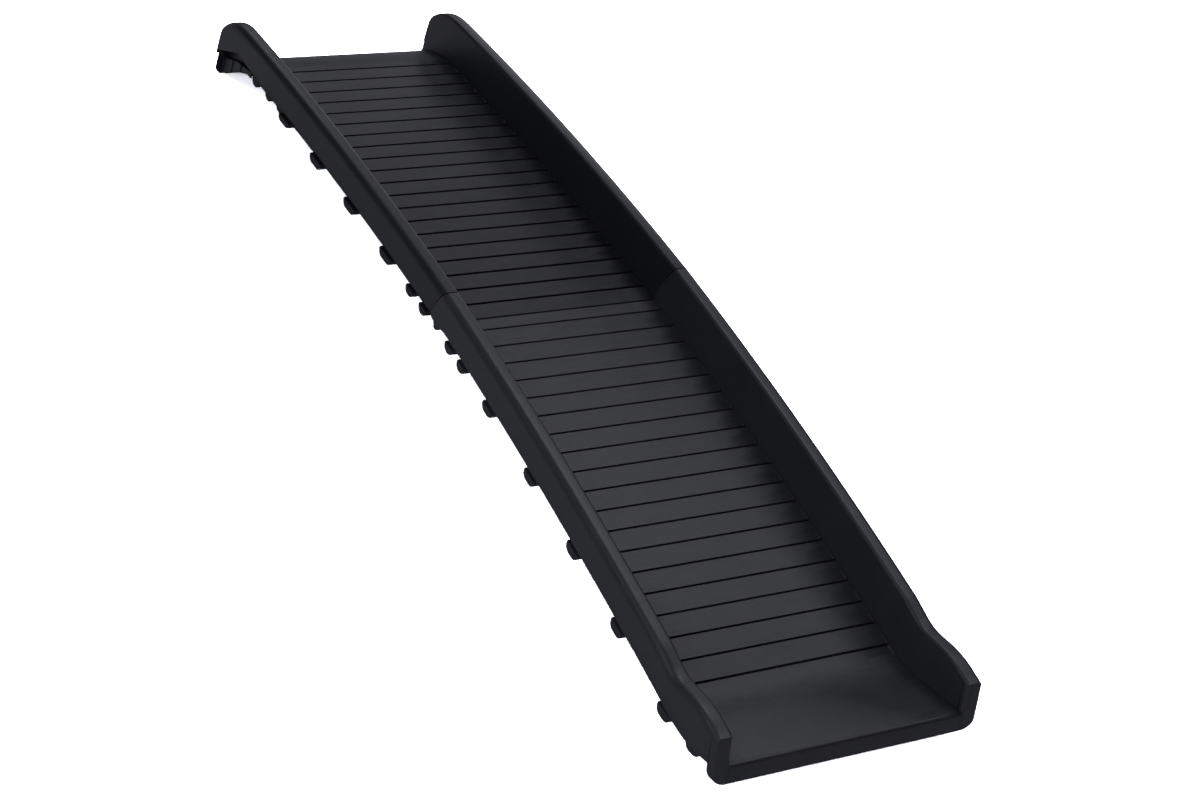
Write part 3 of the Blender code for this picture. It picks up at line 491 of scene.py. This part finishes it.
def rail_solid(lines, radius, sign):
    """Hollow rail on the +X side from its top line and the two lines along which its walls end."""
    inner_lines = []
    for line in lines:
        inner = line.copy()
        for end, beside in ((0, 1), (-1, -2)):
            gap = max(1e-6, float(np.hypot(*(line[beside, :2] - line[end, :2]))))
            inner[end] += (line[beside] - line[end]) * min(0.8, FLANGE_THICK / gap)
        inner_lines.append(inner)
    return trough(rail_grid(lines, radius, 0.0, sign), rail_grid(inner_lines, radius, WALL, sign))


def quarter_fall(past, radius):
    """How far a quarter round has fallen away, from nothing at -radius to radius at the edge, past = 0."""
    into = np.clip(past + radius, 0.0, radius)
    return radius - np.sqrt(radius ** 2 - into ** 2)


def front_wall_solid(drop):
    """Flat wall at the low end of a rail, joined to the lip below it.

    Across X its top follows the rail's rounded edges and its bottom the lip's corner; the edge
    towards the walkway is drawn back by a quarter round that fades out down to the lip.
    """
    lip = LIP_ROUND + LIP_DROP
    turns = np.linspace(0.0, np.pi / 2, 8)
    small = FRONT_TOP * RAIL_INNER
    left = INNER_HALF + small * (1 - np.cos(turns))
    right = OUTER_HALF - FRONT_TOP + FRONT_TOP * np.sin(turns)
    corner = OUTER_HALF - LIP_CORNER + LIP_CORNER * np.sin(np.linspace(0.0, np.pi / 2, 14)[:-1])
    x = np.unique(np.concatenate([left, right, corner[corner > INNER_HALF]]).round(6))
    high = RAIL_FRONT + FRONT_PROUD - quarter_fall(x - OUTER_HALF, FRONT_TOP)
    high = high - quarter_fall(INNER_HALF - x, small)
    low = -lip + quarter_fall(x - OUTER_HALF, LIP_CORNER)
    back_out = quarter_fall(x - OUTER_HALF, FRONT_ROUND)
    back_in = quarter_fall(INNER_HALF - x, FRONT_ROUND)
    lap = 1 + FRONT_LAP / FRONT_WALL
    rings = []
    for place, top, bottom, out, inn in zip(x, high, low, back_out, back_in):
        rows = bottom + (top - FRONT_EDGE - bottom) * np.linspace(0.0, 1.0, 16)
        behind = np.maximum(out, inn * np.clip((rows - FRONT_FADE[0]) / FRONT_FADE[1], 0.0, 1.0))
        room = FRONT_EDGE * (1 - np.cos(turns[1:]))
        behind = np.concatenate([behind, behind[-1] + room * (1 - behind[-1] / FRONT_WALL)])
        rows = np.concatenate([rows, top - FRONT_EDGE + FRONT_EDGE * np.sin(turns[1:])])
        back_rows = np.minimum(rows, top) + drop * lap * np.linspace(0.0, 1.0, len(rows)) ** 4
        front = np.stack(lower_end(behind, rows), axis=-1)
        back = np.stack(lower_end(np.full(len(rows), FRONT_WALL + FRONT_LAP), back_rows), axis=-1)
        rings.append(ring_at(np.vstack([front, back[::-1]]), place, -1.0))
    return loft(np.stack(rings))


def front_drop(last):
    """Rise, over the front wall's depth, of the line from its top front edge to a point behind."""
    heading = front_heading()
    tip = lower_end(0.0, RAIL_FRONT)
    du, dz = last[0] - float(tip[0][0]), last[1] - float(tip[1][0])
    back = -(du * math.cos(heading) + dz * math.sin(heading))
    rise = -du * math.sin(heading) + dz * math.cos(heading)
    return FRONT_WALL * rise / back


def lower_rail_lines():
    """Top line, outer skirt edge and inner foot line of a lower rail at matched stations."""
    split, run = LOWER_MOUTH
    s = np.linspace(0.0, split, 44)
    top = raised(LOWER_DECK, s, RAIL_HEIGHT, LOWER_START)
    rest = carried_on(run, 90, top[-1])
    tip = lower_end(0.0, RAIL_FRONT)
    rest = rest[rest[:, 0] < tip[0][0] - MOUTH_STOP]
    rest = straight_to(rest, lower_end(FRONT_WALL, RAIL_FRONT + front_drop(rest[-1])))
    top = np.vstack([top, resampled(rest, 40)[1:]])
    top[-1, 2] = front_heading()
    depth, stop, lead = SEAM_DIP
    dip = depth * np.sin(np.pi * np.minimum(1.0, (s + lead) / (stop + lead))) ** 2
    bow = [(1.0, -math.degrees(LOWER_BOW))]
    skirt = raised(bow, s, SKIRT_EDGE - dip, LOWER_START)
    after = raised(bow, np.linspace(split, LOWER_SKIRT[0], 20), SKIRT_EDGE, LOWER_START)
    after = np.vstack([after, carried_on(LOWER_SKIRT[1], 60, after[-1])])
    limit = lower_end(SKIRT_STOP, 0.0)[0][0]
    after = straight_to(after[after[:, 0] < limit], lower_end(FRONT_WALL, SKIRT_FOOT))
    skirt = np.vstack([skirt, resampled(after, 40)[1:]])
    inner = raised(LOWER_DECK, s, INNER_FOOT, LOWER_START)
    under = np.linspace(split, LOWER_LENGTH - FRONT_WALL + LIP_ROUND, 80)
    under = raised(LOWER_DECK, under, INNER_FOOT, LOWER_START)
    inner = np.vstack([inner, resampled(under, 40)[1:]])
    fall = np.clip((np.arange(len(top)) - FADE_ROWS[0]) / FADE_ROWS[1], 0.0, 1.0)
    radius = RAIL_ROUND + (FRONT_TOP - RAIL_ROUND) * fall * fall * (3 - 2 * fall)
    return (top, skirt, inner), radius


def upper_rail_lines():
    """Top line with the rounded end, outer skirt edge and inner foot line of an upper rail."""
    split = UPPER_SKIRT[0]
    s = np.linspace(0.0, split, 44)
    top = raised(UPPER_DECK, s, RAIL_HEIGHT, UPPER_START)
    rest = raised(UPPER_DECK, np.linspace(split, UPPER_MOUTH[0], 12), RAIL_HEIGHT, UPPER_START)
    run = carried_on(UPPER_MOUTH[1], 60, rest[-1])
    u, _, heading = run[-1]
    radius = (UPPER_END - u) / (1 + math.sin(heading))
    turn = math.pi / 2 + heading
    arc = carried_on([(radius * turn, -math.degrees(turn))], 40, run[-1])
    skirt = raised(UPPER_DECK, s, SKIRT_EDGE, UPPER_START)
    edge = carried_on(UPPER_SKIRT[1], 160, skirt[-1])
    corner = np.interp(UPPER_END, edge[:, 0], edge[:, 1])
    rest = np.vstack([rest, run[1:], arc[1:], [[UPPER_END, corner, -math.pi / 2]]])
    top = np.vstack([top, resampled(rest, 60)[1:]])
    limit = UPPER_END - RAIL_ROUND - END_CLEAR
    skirt = np.vstack([skirt, resampled(edge[edge[:, 0] < limit], 60)[1:]])
    inner = raised(UPPER_DECK, s, INNER_FOOT, UPPER_START)
    under = raised(UPPER_DECK, np.linspace(split, UPPER_LENGTH, 80), INNER_FOOT, UPPER_START)
    inner = np.vstack([inner, resampled(under[under[:, 0] < limit], 60)[1:]])
    return top, skirt, inner


def rib_solid(half_ramp, place, depth, width, reach=RIB_REACH):
    """Cross rib: a U with round corners carried across X, drawn in at both ends like a quarter round."""
    chain, start, sign = half_ramp
    u, z, heading = (float(value[0]) for value in along(chain, place, start))
    turns = np.linspace(0.0, np.pi / 2, 7)
    rings = []
    for side in (-1, 1):
        for angle in (turns[::-1] if side < 0 else turns):
            inset = RIB_END_ROUND * (1 - math.cos(angle))
            x = side * (reach - RIB_END_ROUND + RIB_END_ROUND * math.sin(angle))
            half, bottom = width / 2 - inset, depth - inset
            radius = min(RIB_ROUND - inset, bottom - RIB_TOP - RIB_CLEAR)
            fall, reached = radius - radius * np.cos(turns), radius * np.sin(turns)
            a = np.concatenate([[-half], -half + fall, half - radius + reached, [half]])
            b = np.concatenate([[-RIB_TOP], -bottom + radius - reached, -bottom + fall, [-RIB_TOP]])
            rings.append(stand(u + a * math.cos(heading) - b * math.sin(heading),
                               z + a * math.sin(heading) + b * math.cos(heading), np.full(len(a), x), sign))
    return loft(np.stack(rings))


def web_solids(half):
    """Three lengthwise webs under the deck, each between the deck and a line WEB_DEPTH below it."""
    chain, start, sign = half
    s = np.linspace(WEB_CLEAR, sum(piece[0] for piece in chain) - WEB_CLEAR, 60)
    top = raised(chain, s, -RIB_TOP, start)
    low = raised(chain, s, -WEB_DEPTH, start)
    return [plate(top, low, (x - WALL / 2, x + WALL / 2), sign) for x in WEB_PLACES]


def lug_solids(middle, sign):
    """Hinge lugs: a round barrel about the axis with a gusset up to the deck."""
    angle = np.radians(np.linspace(105, 375, 32))
    barrel = np.stack([BARREL_RADIUS * np.cos(angle), -AXIS_DROP + BARREL_RADIUS * np.sin(angle)], axis=1)
    reach, depth = LUG_GUSSET
    ring = np.vstack([[[LUG_GAP, -RIB_TOP], [LUG_GAP, -AXIS_DROP + BARREL_RADIUS]], barrel,
                      [[reach, -depth], [reach, -RIB_TOP]]])
    shifts = (0.0,) if middle else (-LUG_WIDTH - LUG_GAP, LUG_WIDTH + LUG_GAP)
    solids = []
    for centre in LUG_GROUPS:
        for shift in shifts:
            ends = (centre + shift - LUG_WIDTH / 2, centre + shift + LUG_WIDTH / 2)
            solids.append(prism(ring, ends, sign))
    return solids


def flange_solid(sign):
    near, far = SEAM_GAP, SEAM_GAP + FLANGE_THICK
    ring = np.array([[near, -RIB_TOP], [far, -RIB_TOP], [far, -FLANGE_DROP], [near, -FLANGE_DROP]])
    return prism(ring, (-RIB_REACH, RIB_REACH), sign)


def foot_axis(half, foot, side):
    """Point of the deck above a foot, in world metres, and the direction down through it."""
    chain, start, sign = half
    u, z, heading = (value[0] for value in along(chain, foot[0], start))
    line = np.array([[u, z], [u + math.sin(heading), z - math.cos(heading)]])
    ends = ring_at(line, side * FOOT_ACROSS, sign)
    return ends[0], ends[1] - ends[0]


def boss_solids(half, foot):
    """Round bosses that hold the rubber feet."""
    solids = []
    for side in (-1, 1):
        point, down = foot_axis(half, foot, side)
        solids.append(turned(rounded(BOSS_RADIUS, RIB_TOP, foot[1], BOSS_EDGE), point, down))
    return solids


def end_wall():
    """Side-view place of the top end wall, just behind the flat face of the nose."""
    last = sum(piece[0] for piece in UPPER_NOSE)
    return float(along(UPPER_NOSE, last, UPPER_START)[0][0]) - NOSE_CLEAR


def end_plate_solid():
    """Lower part of the top end wall with two rounded lower corners."""
    half, top, low, radius = END_PLATE
    end = end_wall()
    angle = np.linspace(0.0, np.pi / 2, 9)
    right = np.stack([half - radius + radius * np.sin(angle), low + radius - radius * np.cos(angle)], axis=1)
    x = np.concatenate([-right[::-1, 0], right[:, 0]])
    bottom = np.concatenate([right[::-1, 1], right[:, 1]])
    rings = []
    for place, z in zip(x, bottom):
        ring = np.array([[end, top], [end, z], [end - WALL, z], [end - WALL, top]])
        rings.append(ring_at(ring, place, 1.0))
    return loft(np.stack(rings))


def hook_solids():
    """Turned-down end below each rail: inner wall, cheek, three ridges and a strip of the end wall."""
    line = np.array(HOOK_LINE)
    steps = np.linspace(0, len(line) - 1, 25)
    line = np.stack([np.interp(steps, np.arange(len(line)), line[:, i]) for i in range(2)], axis=1)
    rise = np.stack([line[:, 0], np.interp(line[:, 0], *np.array(CHEEK_TOP).T)], axis=1)
    solids = both(plate(rise, line, (RIB_REACH - WALL, RIB_REACH), 1.0))
    wall_top = np.stack([line[:, 0], np.interp(line[:, 0], *np.array(HOOK_WALL_TOP).T)], axis=1)
    wall_low = line + np.array([0.0, HOOK_WALL_RISE])
    wall_low[:, 1] = np.minimum(wall_low[:, 1], wall_top[:, 1] - HOOK_WALL_LEAST)
    solids += both(plate(wall_top, wall_low, (INNER_HALF + HOOK_WALL_CLEAR, INNER_HALF + WALL), 1.0))
    for u, top, low in CHEEK_RIDGES:
        near, far = u - RIDGE_HALF, u + RIDGE_HALF
        ring = np.array([[near, top], [far, top], [far, low - RIDGE_FALL], [near, low]])
        solids += both(prism(ring, (INNER_HALF + ROOT_DEPTH, RIB_REACH + RIDGE_HALF), 1.0))
    half, _, low, corner = END_PLATE
    top, low = END_STRIP_TOP, low + corner
    end = end_wall()
    ring = np.array([[end - WALL, top], [end, top], [end, low], [end - WALL, low]])
    return solids + both(prism(ring, (INNER_HALF + STRIP_ROOT, half), 1.0))


def ear_boss_solid():
    place, height, radius, reach = EAR_BOSS
    start = ring_at(np.array([[place, height]]), INNER_HALF + ROOT_DEPTH, -1.0)[0]
    return turned(rounded(radius, 0.0, reach - INNER_HALF - ROOT_DEPTH, EAR_EDGE), start, (1.0, 0.0, 0.0))


# procedural materials

def linear(text):
    """Linear RGB of an sRGB hex colour."""
    values = [int(text[i:i + 2], 16) / 255 for i in (0, 2, 4)]
    return tuple(v / 12.92 if v <= 0.04045 else ((v + 0.055) / 1.055) ** 2.4 for v in values)


def node(tree, kind, inputs=None, settings=None):
    """A shader node with its settings and its sockets, each linked or set to a value."""
    made = tree.nodes.new(kind)
    for key, value in (settings or {}).items():
        setattr(made, key, value)
    for key, value in (inputs or {}).items():
        if isinstance(value, bpy.types.NodeSocket):
            tree.links.new(value, made.inputs[key])
        else:
            made.inputs[key].default_value = value
    return made


def new_material(name):
    material = bpy.data.materials.new(name)
    material.use_nodes = True
    material.node_tree.nodes.clear()
    return material, material.node_tree


def shaded(material, kind, inputs):
    """The material with a shader of this kind for its surface."""
    shader = node(material.node_tree, kind, inputs)
    output = material.node_tree.nodes.new("ShaderNodeOutputMaterial")
    material.node_tree.links.new(shader.outputs["BSDF"], output.inputs["Surface"])
    return material


def noise(tree, vector, scale, detail):
    made = node(tree, "ShaderNodeTexNoise", {"Vector": vector, "Scale": scale, "Detail": detail})
    return made.outputs["Fac"]


def pattern_space(tree, length=1.0, width=1.0):
    """Object coordinates for marks of this length along X and this width across it."""
    coordinates = node(tree, "ShaderNodeTexCoord").outputs["Object"]
    scale = (1 / length, 1 / width, 1 / width)
    return node(tree, "ShaderNodeMapping", {"Vector": coordinates, "Scale": scale}).outputs["Vector"]


def spread(tree, value, low, high, to_low, to_high):
    """A value carried from one range to another and held inside it."""
    made = node(tree, "ShaderNodeMapRange", {
        "Value": value, "From Min": low, "From Max": high, "To Min": to_low, "To Max": to_high})
    return made.outputs["Result"]


def arithmetic(tree, operation, *values):
    return node(tree, "ShaderNodeMath", dict(enumerate(values)), {"operation": operation}).outputs[0]


def tinted(tree, colour, factor):
    """A colour multiplied by a varying factor."""
    grey = node(tree, "ShaderNodeCombineColor", {"Red": factor, "Green": factor, "Blue": factor})
    inputs = {0: 1.0, 6: (*colour, 1.0), 7: grey.outputs["Color"]}
    return node(tree, "ShaderNodeMix", inputs, {"data_type": "RGBA", "blend_type": "MULTIPLY"}).outputs[2]


def moulded_plastic(name, colour, grain, streak, looks):
    """Charcoal polypropylene from an etched mould: soft sheen, fine grain, flow streaks and scuffs.

    Points marked as lying in a groove keep less colour and sheen: painted shade in the grooves.
    """
    material, tree = new_material(name)
    even = pattern_space(tree)
    fine = noise(tree, even, 1 / GRAIN, 2.0)
    cloud = noise(tree, even, 1 / CLOUD, 4.0)
    flow = noise(tree, pattern_space(tree, looks.streak_length, looks.streak_width), 1.0, 5.0)
    scuff = noise(tree, pattern_space(tree, *SCUFF), 1.0, 2.0)
    marks = spread(tree, scuff, 0.66, 0.74, 0.0, 1.0)
    shade = spread(tree, flow, 0.30, 0.70, 1.0 - streak, 1.0 + streak)
    wide = spread(tree, cloud, 0.30, 0.70, 0.93, 1.07)
    # painted shade: the groove attribute darkens the colour and dims the sheen in the grooves
    groove = node(tree, "ShaderNodeAttribute", None, {"attribute_name": "groove"}).outputs["Fac"]
    painted_groove_shade = spread(tree, groove, 0.0, 1.0, 1.0, 0.25)
    varied = arithmetic(tree, "MULTIPLY", shade, wide)
    factor = arithmetic(tree, "MULTIPLY", varied, painted_groove_shade)
    sheen = arithmetic(tree, "MULTIPLY", painted_groove_shade, 0.5)
    rough = spread(tree, flow, 0.30, 0.70, looks.plastic_roughness - 0.05, looks.plastic_roughness + 0.06)
    worn = arithmetic(tree, "MULTIPLY_ADD", marks, -0.08 * streak, rough)
    height = arithmetic(tree, "MULTIPLY_ADD", flow, streak, fine)
    bump = node(tree, "ShaderNodeBump", {"Strength": grain, "Distance": BUMP_HEIGHT, "Height": height})
    return shaded(material, "ShaderNodeBsdfPrincipled", {
        "Base Color": tinted(tree, colour, factor), "Roughness": worn, "IOR": 1.49,
        "Specular IOR Level": sheen, "Normal": bump.outputs["Normal"]})


def drawn_steel(name, colour):
    """Bright drawn steel wire: narrow turning lines round the rod and a broken glint."""
    material, tree = new_material(name)
    lines = noise(tree, pattern_space(tree, *TURNING_LINES), 1.0, 3.0)
    rough = spread(tree, lines, 0.3, 0.7, 0.22, 0.38)
    bump = node(tree, "ShaderNodeBump", {"Strength": 0.3, "Distance": 0.00003, "Height": lines})
    return shaded(material, "ShaderNodeBsdfPrincipled", {
        "Base Color": tinted(tree, colour, spread(tree, lines, 0.3, 0.7, 0.92, 1.05)),
        "Metallic": 1.0, "Roughness": rough, "Normal": bump.outputs["Normal"]})


def moulded_rubber(name, colour):
    """Black moulded rubber: very matt, with a dusty bloom in soft patches."""
    material, tree = new_material(name)
    even = pattern_space(tree)
    bloom = noise(tree, even, 1 / BLOOM, 4.0)
    fine = noise(tree, even, 1 / RUBBER_GRAIN, 2.0)
    bump = node(tree, "ShaderNodeBump", {"Strength": 0.5, "Distance": 0.0001, "Height": fine})
    return shaded(material, "ShaderNodeBsdfPrincipled", {
        "Base Color": tinted(tree, colour, spread(tree, bloom, 0.35, 0.7, 0.85, 1.5)),
        "Roughness": spread(tree, bloom, 0.3, 0.7, 0.78, 0.92), "IOR": 1.52,
        "Normal": bump.outputs["Normal"]})


def studio_floor(name, colour, lift):
    """Matt white sweep: plain for the camera, so only the soft shadow under the ramp shows on it."""
    material, tree = new_material(name)
    seen = node(tree, "ShaderNodeLightPath").outputs["Is Camera Ray"]
    level = spread(tree, seen, 0.0, 1.0, 1.0, lift)
    return shaded(material, "ShaderNodeBsdfDiffuse", {"Color": tinted(tree, colour, level)})


# add-on

class RampLooks(bpy.types.PropertyGroup):
    edge_round: bpy.props.FloatProperty(
        name="Edge rounding", description="Rounding of the moulded edges",
        default=0.0005, unit="LENGTH", precision=4)
    streak_length: bpy.props.FloatProperty(
        name="Streak length", description="Length of the flow streaks across a slat",
        default=0.045, unit="LENGTH")
    streak_width: bpy.props.FloatProperty(
        name="Streak width", description="Width of the flow streaks",
        default=0.0022, unit="LENGTH", precision=4)
    plastic_roughness: bpy.props.FloatProperty(
        name="Plastic roughness", description="Sheen of the etched plastic, 0 is a mirror", default=0.38)
    lower_colour: bpy.props.FloatVectorProperty(
        name="Lower plastic", description="Colour of the lower moulding",
        default=linear("3F4046"), subtype="COLOR")
    # the two mouldings are one polypropylene; the upper one's darker colour is partly painted shade that
    # dims the upper half
    upper_colour_with_painted_shade: bpy.props.FloatVectorProperty(
        name="Upper plastic", description="Colour of the upper moulding",
        default=linear("2E2F35"), subtype="COLOR")
    rubber_colour: bpy.props.FloatVectorProperty(
        name="Rubber", description="Colour of feet and pads", default=linear("1B1B1C"), subtype="COLOR")
    cap_colour: bpy.props.FloatVectorProperty(
        name="Cap", description="Colour of the caps on the rod", default=linear("202022"), subtype="COLOR")
    steel_colour: bpy.props.FloatVectorProperty(
        name="Steel", description="Colour of the rod", default=linear("C4C5C8"), subtype="COLOR")
    floor_colour: bpy.props.FloatVectorProperty(
        name="Floor", description="Colour of the studio floor", default=linear("DEDEDE"), subtype="COLOR")
    floor_lift: bpy.props.FloatProperty(
        name="Floor lift", description="How much brighter the camera sees the floor", default=24.0)
    world_level: bpy.props.FloatProperty(
        name="Fill", description="Brightness of the room around the ramp", default=0.02)
    light_power: bpy.props.FloatProperty(
        name="Soft boxes", description="Power of all the soft boxes together", default=84.0, unit="POWER")
    light_colour: bpy.props.FloatVectorProperty(
        name="Soft box colour", description="Cool white of the soft boxes",
        default=linear("F6F8FF"), subtype="COLOR")


class LowerHalfOperator(bpy.types.Operator):
    """Build the lower moulded half: slatted deck with apron and lip, two rails, ribs and hinge lugs"""
    bl_idname = "ramp.lower_half"
    bl_label = "Lower half"

    def execute(self, context):
        looks = context.scene.ramp_looks
        colour = tuple(looks.lower_colour)
        tread = moulded_plastic("polypropylene_slats_lower", colour, 0.35, 0.16, looks)
        shell = moulded_plastic("polypropylene_shell_lower", colour, 0.30, 0.05, looks)
        last = LOWER_LENGTH + LIP_ROUND * math.pi / 2
        s = np.append(np.linspace(LOWER_LENGTH, last, 10)[1:], last + LIP_DROP)
        front = raised(LOWER_LIP, s, 0.0, LOWER_START)
        heights = np.linspace(-DECK_UNDERSIDE, -LIP_ROUND - LIP_DROP, len(s))
        inside = np.stack(lower_end(LIP_WALL, heights), axis=1)
        deck, shade = deck_solid(LOWER, LOWER_GROOVES, True, front, inside)
        parts = ("lower", "lower_half", "lower_moulding")
        build_object("lower_deck", [deck], *parts, tread, looks.edge_round, shade)
        lines, radius = lower_rail_lines()
        right, left = both(rail_solid(lines, radius, -1.0))
        build_object("lower_rail_right", [right], *parts, shell, looks.edge_round)
        build_object("lower_rail_left", [left], *parts, shell, looks.edge_round)
        drop = front_drop(lines[0][-1])
        build_object("lower_rail_fronts", both(front_wall_solid(drop)), *parts, shell, 0.0)
        ribs = [rib_solid(LOWER, *rib) for rib in LOWER_RIBS]
        build_object("lower_ribs", ribs, *parts, shell, 0.0)
        under = web_solids(LOWER) + lug_solids(True, -1.0) + [flange_solid(-1.0)]
        under += boss_solids(LOWER, LOWER_FOOT) + both(ear_boss_solid())
        build_object("lower_underside", under, *parts, shell, looks.edge_round)
        return {"FINISHED"}


class UpperHalfOperator(bpy.types.Operator):
    """Build the upper moulded half: slatted deck with landing, two rails, ribs and turned-down end"""
    bl_idname = "ramp.upper_half"
    bl_label = "Upper half"

    def execute(self, context):
        looks = context.scene.ramp_looks
        # darker than the lower moulding's colour, partly painted shade
        colour = tuple(looks.upper_colour_with_painted_shade)
        tread = moulded_plastic("polypropylene_slats_upper", colour, 0.35, 0.16, looks)
        shell = moulded_plastic("polypropylene_shell_upper", colour, 0.30, 0.05, looks)
        total = sum(piece[0] for piece in UPPER_NOSE)
        s = np.append(np.linspace(UPPER_LENGTH, total - NOSE_DROP, 12)[1:], total)
        nose = raised(UPPER_NOSE, s, 0.0, UPPER_START)
        inside = raised(UPPER_NOSE, s, -DECK_UNDERSIDE, UPPER_START)
        deck, shade = deck_solid(UPPER, UPPER_GROOVES, False, nose, inside)
        parts = ("upper", "upper_half", "upper_moulding")
        build_object("upper_deck", [deck], *parts, tread, looks.edge_round, shade)
        lines = upper_rail_lines()
        right, left = both(rail_solid(lines, np.full(len(lines[0]), RAIL_ROUND), 1.0))
        build_object("upper_rail_right", [right], *parts, shell, looks.edge_round)
        build_object("upper_rail_left", [left], *parts, shell, looks.edge_round)
        ribs = [rib_solid(UPPER, *rib) for rib in UPPER_RIBS]
        build_object("upper_ribs", ribs, *parts, shell, 0.0)
        under = web_solids(UPPER) + lug_solids(False, 1.0) + [flange_solid(1.0)]
        under += boss_solids(UPPER, UPPER_FOOT)
        build_object("upper_underside", under, *parts, shell, looks.edge_round)
        build_object("upper_hook", hook_solids() + [end_plate_solid()], *parts, shell, looks.edge_round)
        return {"FINISHED"}


class HingeOperator(bpy.types.Operator):
    """Build the steel rod of the hinge and the two caps pushed over its ends"""
    bl_idname = "ramp.hinge"
    bl_label = "Hinge rod and caps"

    def execute(self, context):
        looks = context.scene.ramp_looks
        steel = drawn_steel("drawn_steel_rod", tuple(looks.steel_colour))
        plastic = moulded_plastic("polyamide_cap", tuple(looks.cap_colour), 0.2, 0.03, looks)
        axis = ring_at(np.array([[0.0, -AXIS_DROP]]), 0.0, 1.0)[0]
        rod = turned(rounded(PIN_RADIUS, -PIN_HALF, PIN_HALF, ROD_EDGE), axis, (1.0, 0.0, 0.0))
        build_object("steel_rod", [rod], "lower", "hinge_pin", "hinge_rod", steel, 0.0)
        first = LUG_GROUPS[-1] + LUG_WIDTH * 1.5 + LUG_GAP + CAP_GAP
        for side, word in ((-1, "left"), (1, "right")):
            cap = turned(rounded(CAP_RADIUS, first, first + CAP_LENGTH, CAP_EDGE), axis, (side, 0.0, 0.0))
            build_object("rod_cap_" + word, [cap], "lower", "hinge_cap_" + word, "rod_cap", plastic, 0.0)
        return {"FINISHED"}


class FeetOperator(bpy.types.Operator):
    """Build the rubber feet under the apron and the rubber pads under the landing"""
    bl_idname = "ramp.feet"
    bl_label = "Rubber feet and pads"

    def execute(self, context):
        looks = context.scene.ramp_looks
        rubber = moulded_rubber("moulded_black_rubber", tuple(looks.rubber_colour))
        feet = (LOWER, LOWER_FOOT, "lower", "floor_foot_")
        pads = (UPPER, UPPER_FOOT, "upper", "sill_pad_")
        for half, foot, body, word in (feet, pads):
            _, boss, end = foot
            sole = rounded(FOOT_RADIUS, boss + SOLE_GAP, end, SOLE_EDGE)
            profile = [(STEM_RADIUS, boss - STEM_LENGTH), (STEM_RADIUS, boss + SOLE_GAP)] + sole
            for side, hand in ((-1, "left"), (1, "right")):
                point, down = foot_axis(half, foot, side)
                rubber_foot = turned(profile, point, down, 64)
                build_object(word + hand + "_rubber", [rubber_foot], body, word + hand,
                             "foot_rubber", rubber, 0.0)
        return {"FINISHED"}


class StageOperator(bpy.types.Operator):
    """Build the white floor, the soft lights, the world and the camera of the photo"""
    bl_idname = "ramp.stage"
    bl_label = "Studio and camera"

    def execute(self, context):
        looks = context.scene.ramp_looks
        mesh = bpy.data.meshes.new("studio_floor")
        corners = [(x * FLOOR_HALF, y * FLOOR_HALF, 0.0) for x, y in ((-1, -1), (1, -1), (1, 1), (-1, 1))]
        mesh.from_pydata(corners, [], [(0, 1, 2, 3)])
        mesh.materials.append(studio_floor("matt_white_floor", tuple(looks.floor_colour), looks.floor_lift))
        floor = bpy.data.objects.new("studio_floor", mesh)
        context.scene.collection.objects.link(floor)
        for name, azimuth, elevation, share in SOFT_BOXES:
            power = share * looks.light_power
            soft_box(name, math.radians(azimuth), math.radians(elevation), power, tuple(looks.light_colour))
        white_world(context.scene, looks.world_level)
        data = bpy.data.cameras.new("photo_camera")
        data.lens = CAMERA_LENS
        data.shift_x, data.shift_y = CAMERA_SHIFT
        data.clip_end = 100.0
        camera = bpy.data.objects.new("photo_camera", data)
        camera.location = CAMERA_PLACE
        camera.rotation_euler = Euler([math.radians(a) for a in CAMERA_TURN])
        context.scene.collection.objects.link(camera)
        context.scene.camera = camera
        context.scene.view_settings.view_transform = "Standard"
        return {"FINISHED"}


def soft_box(name, azimuth, elevation, power, colour):
    """A square soft box at BOX_DISTANCE in a given direction, aimed at the middle of the ramp."""
    data = bpy.data.lights.new(name, "AREA")
    data.size = BOX_SIZE
    data.energy = power
    data.color = colour
    light = bpy.data.objects.new(name, data)
    flat = math.cos(elevation)
    away = Vector((flat * math.cos(azimuth), flat * math.sin(azimuth), math.sin(elevation)))
    light.location = Vector(BOX_TARGET) + away * BOX_DISTANCE
    light.rotation_euler = (-away).to_track_quat("-Z", "Y").to_euler()
    bpy.context.scene.collection.objects.link(light)


def white_world(scene, level):
    """White for the camera, a dim even room for everything the ramp reflects."""
    world = bpy.data.worlds.new("studio_world")
    world.use_nodes = True
    tree = world.node_tree
    tree.nodes.clear()
    seen = node(tree, "ShaderNodeLightPath").outputs["Is Camera Ray"]
    strength = spread(tree, seen, 0.0, 1.0, level, 1.0)
    white = (1.0, 1.0, 1.0, 1.0)
    background = node(tree, "ShaderNodeBackground", {"Color": white, "Strength": strength})
    output = tree.nodes.new("ShaderNodeOutputWorld")
    tree.links.new(background.outputs["Background"], output.inputs["Surface"])
    scene.world = world


class RampPanel(bpy.types.Panel):
    """Sizes, colours and build buttons of the folding dog ramp"""
    bl_idname = "VIEW3D_PT_dog_ramp"
    bl_label = "Folding dog ramp"
    bl_space_type = "VIEW_3D"
    bl_region_type = "UI"
    bl_category = "Ramp"

    def draw(self, context):
        looks = context.scene.ramp_looks
        for name in RampLooks.__annotations__:
            self.layout.prop(looks, name)
        for operator in OPERATORS:
            self.layout.operator(operator.bl_idname)


OPERATORS = (LowerHalfOperator, UpperHalfOperator, HingeOperator, FeetOperator, StageOperator)
CLASSES = (RampLooks, *OPERATORS, RampPanel)


def register():
    for cls in CLASSES:
        bpy.utils.register_class(cls)
    bpy.types.Scene.ramp_looks = bpy.props.PointerProperty(type=RampLooks)


def unregister():
    del bpy.types.Scene.ramp_looks
    for cls in reversed(CLASSES):
        bpy.utils.unregister_class(cls)


def main():
    register()
    bpy.ops.ramp.lower_half()
    bpy.ops.ramp.upper_half()
    bpy.ops.ramp.hinge()
    bpy.ops.ramp.feet()
    bpy.ops.ramp.stage()


if __name__ == "__main__":
    main()
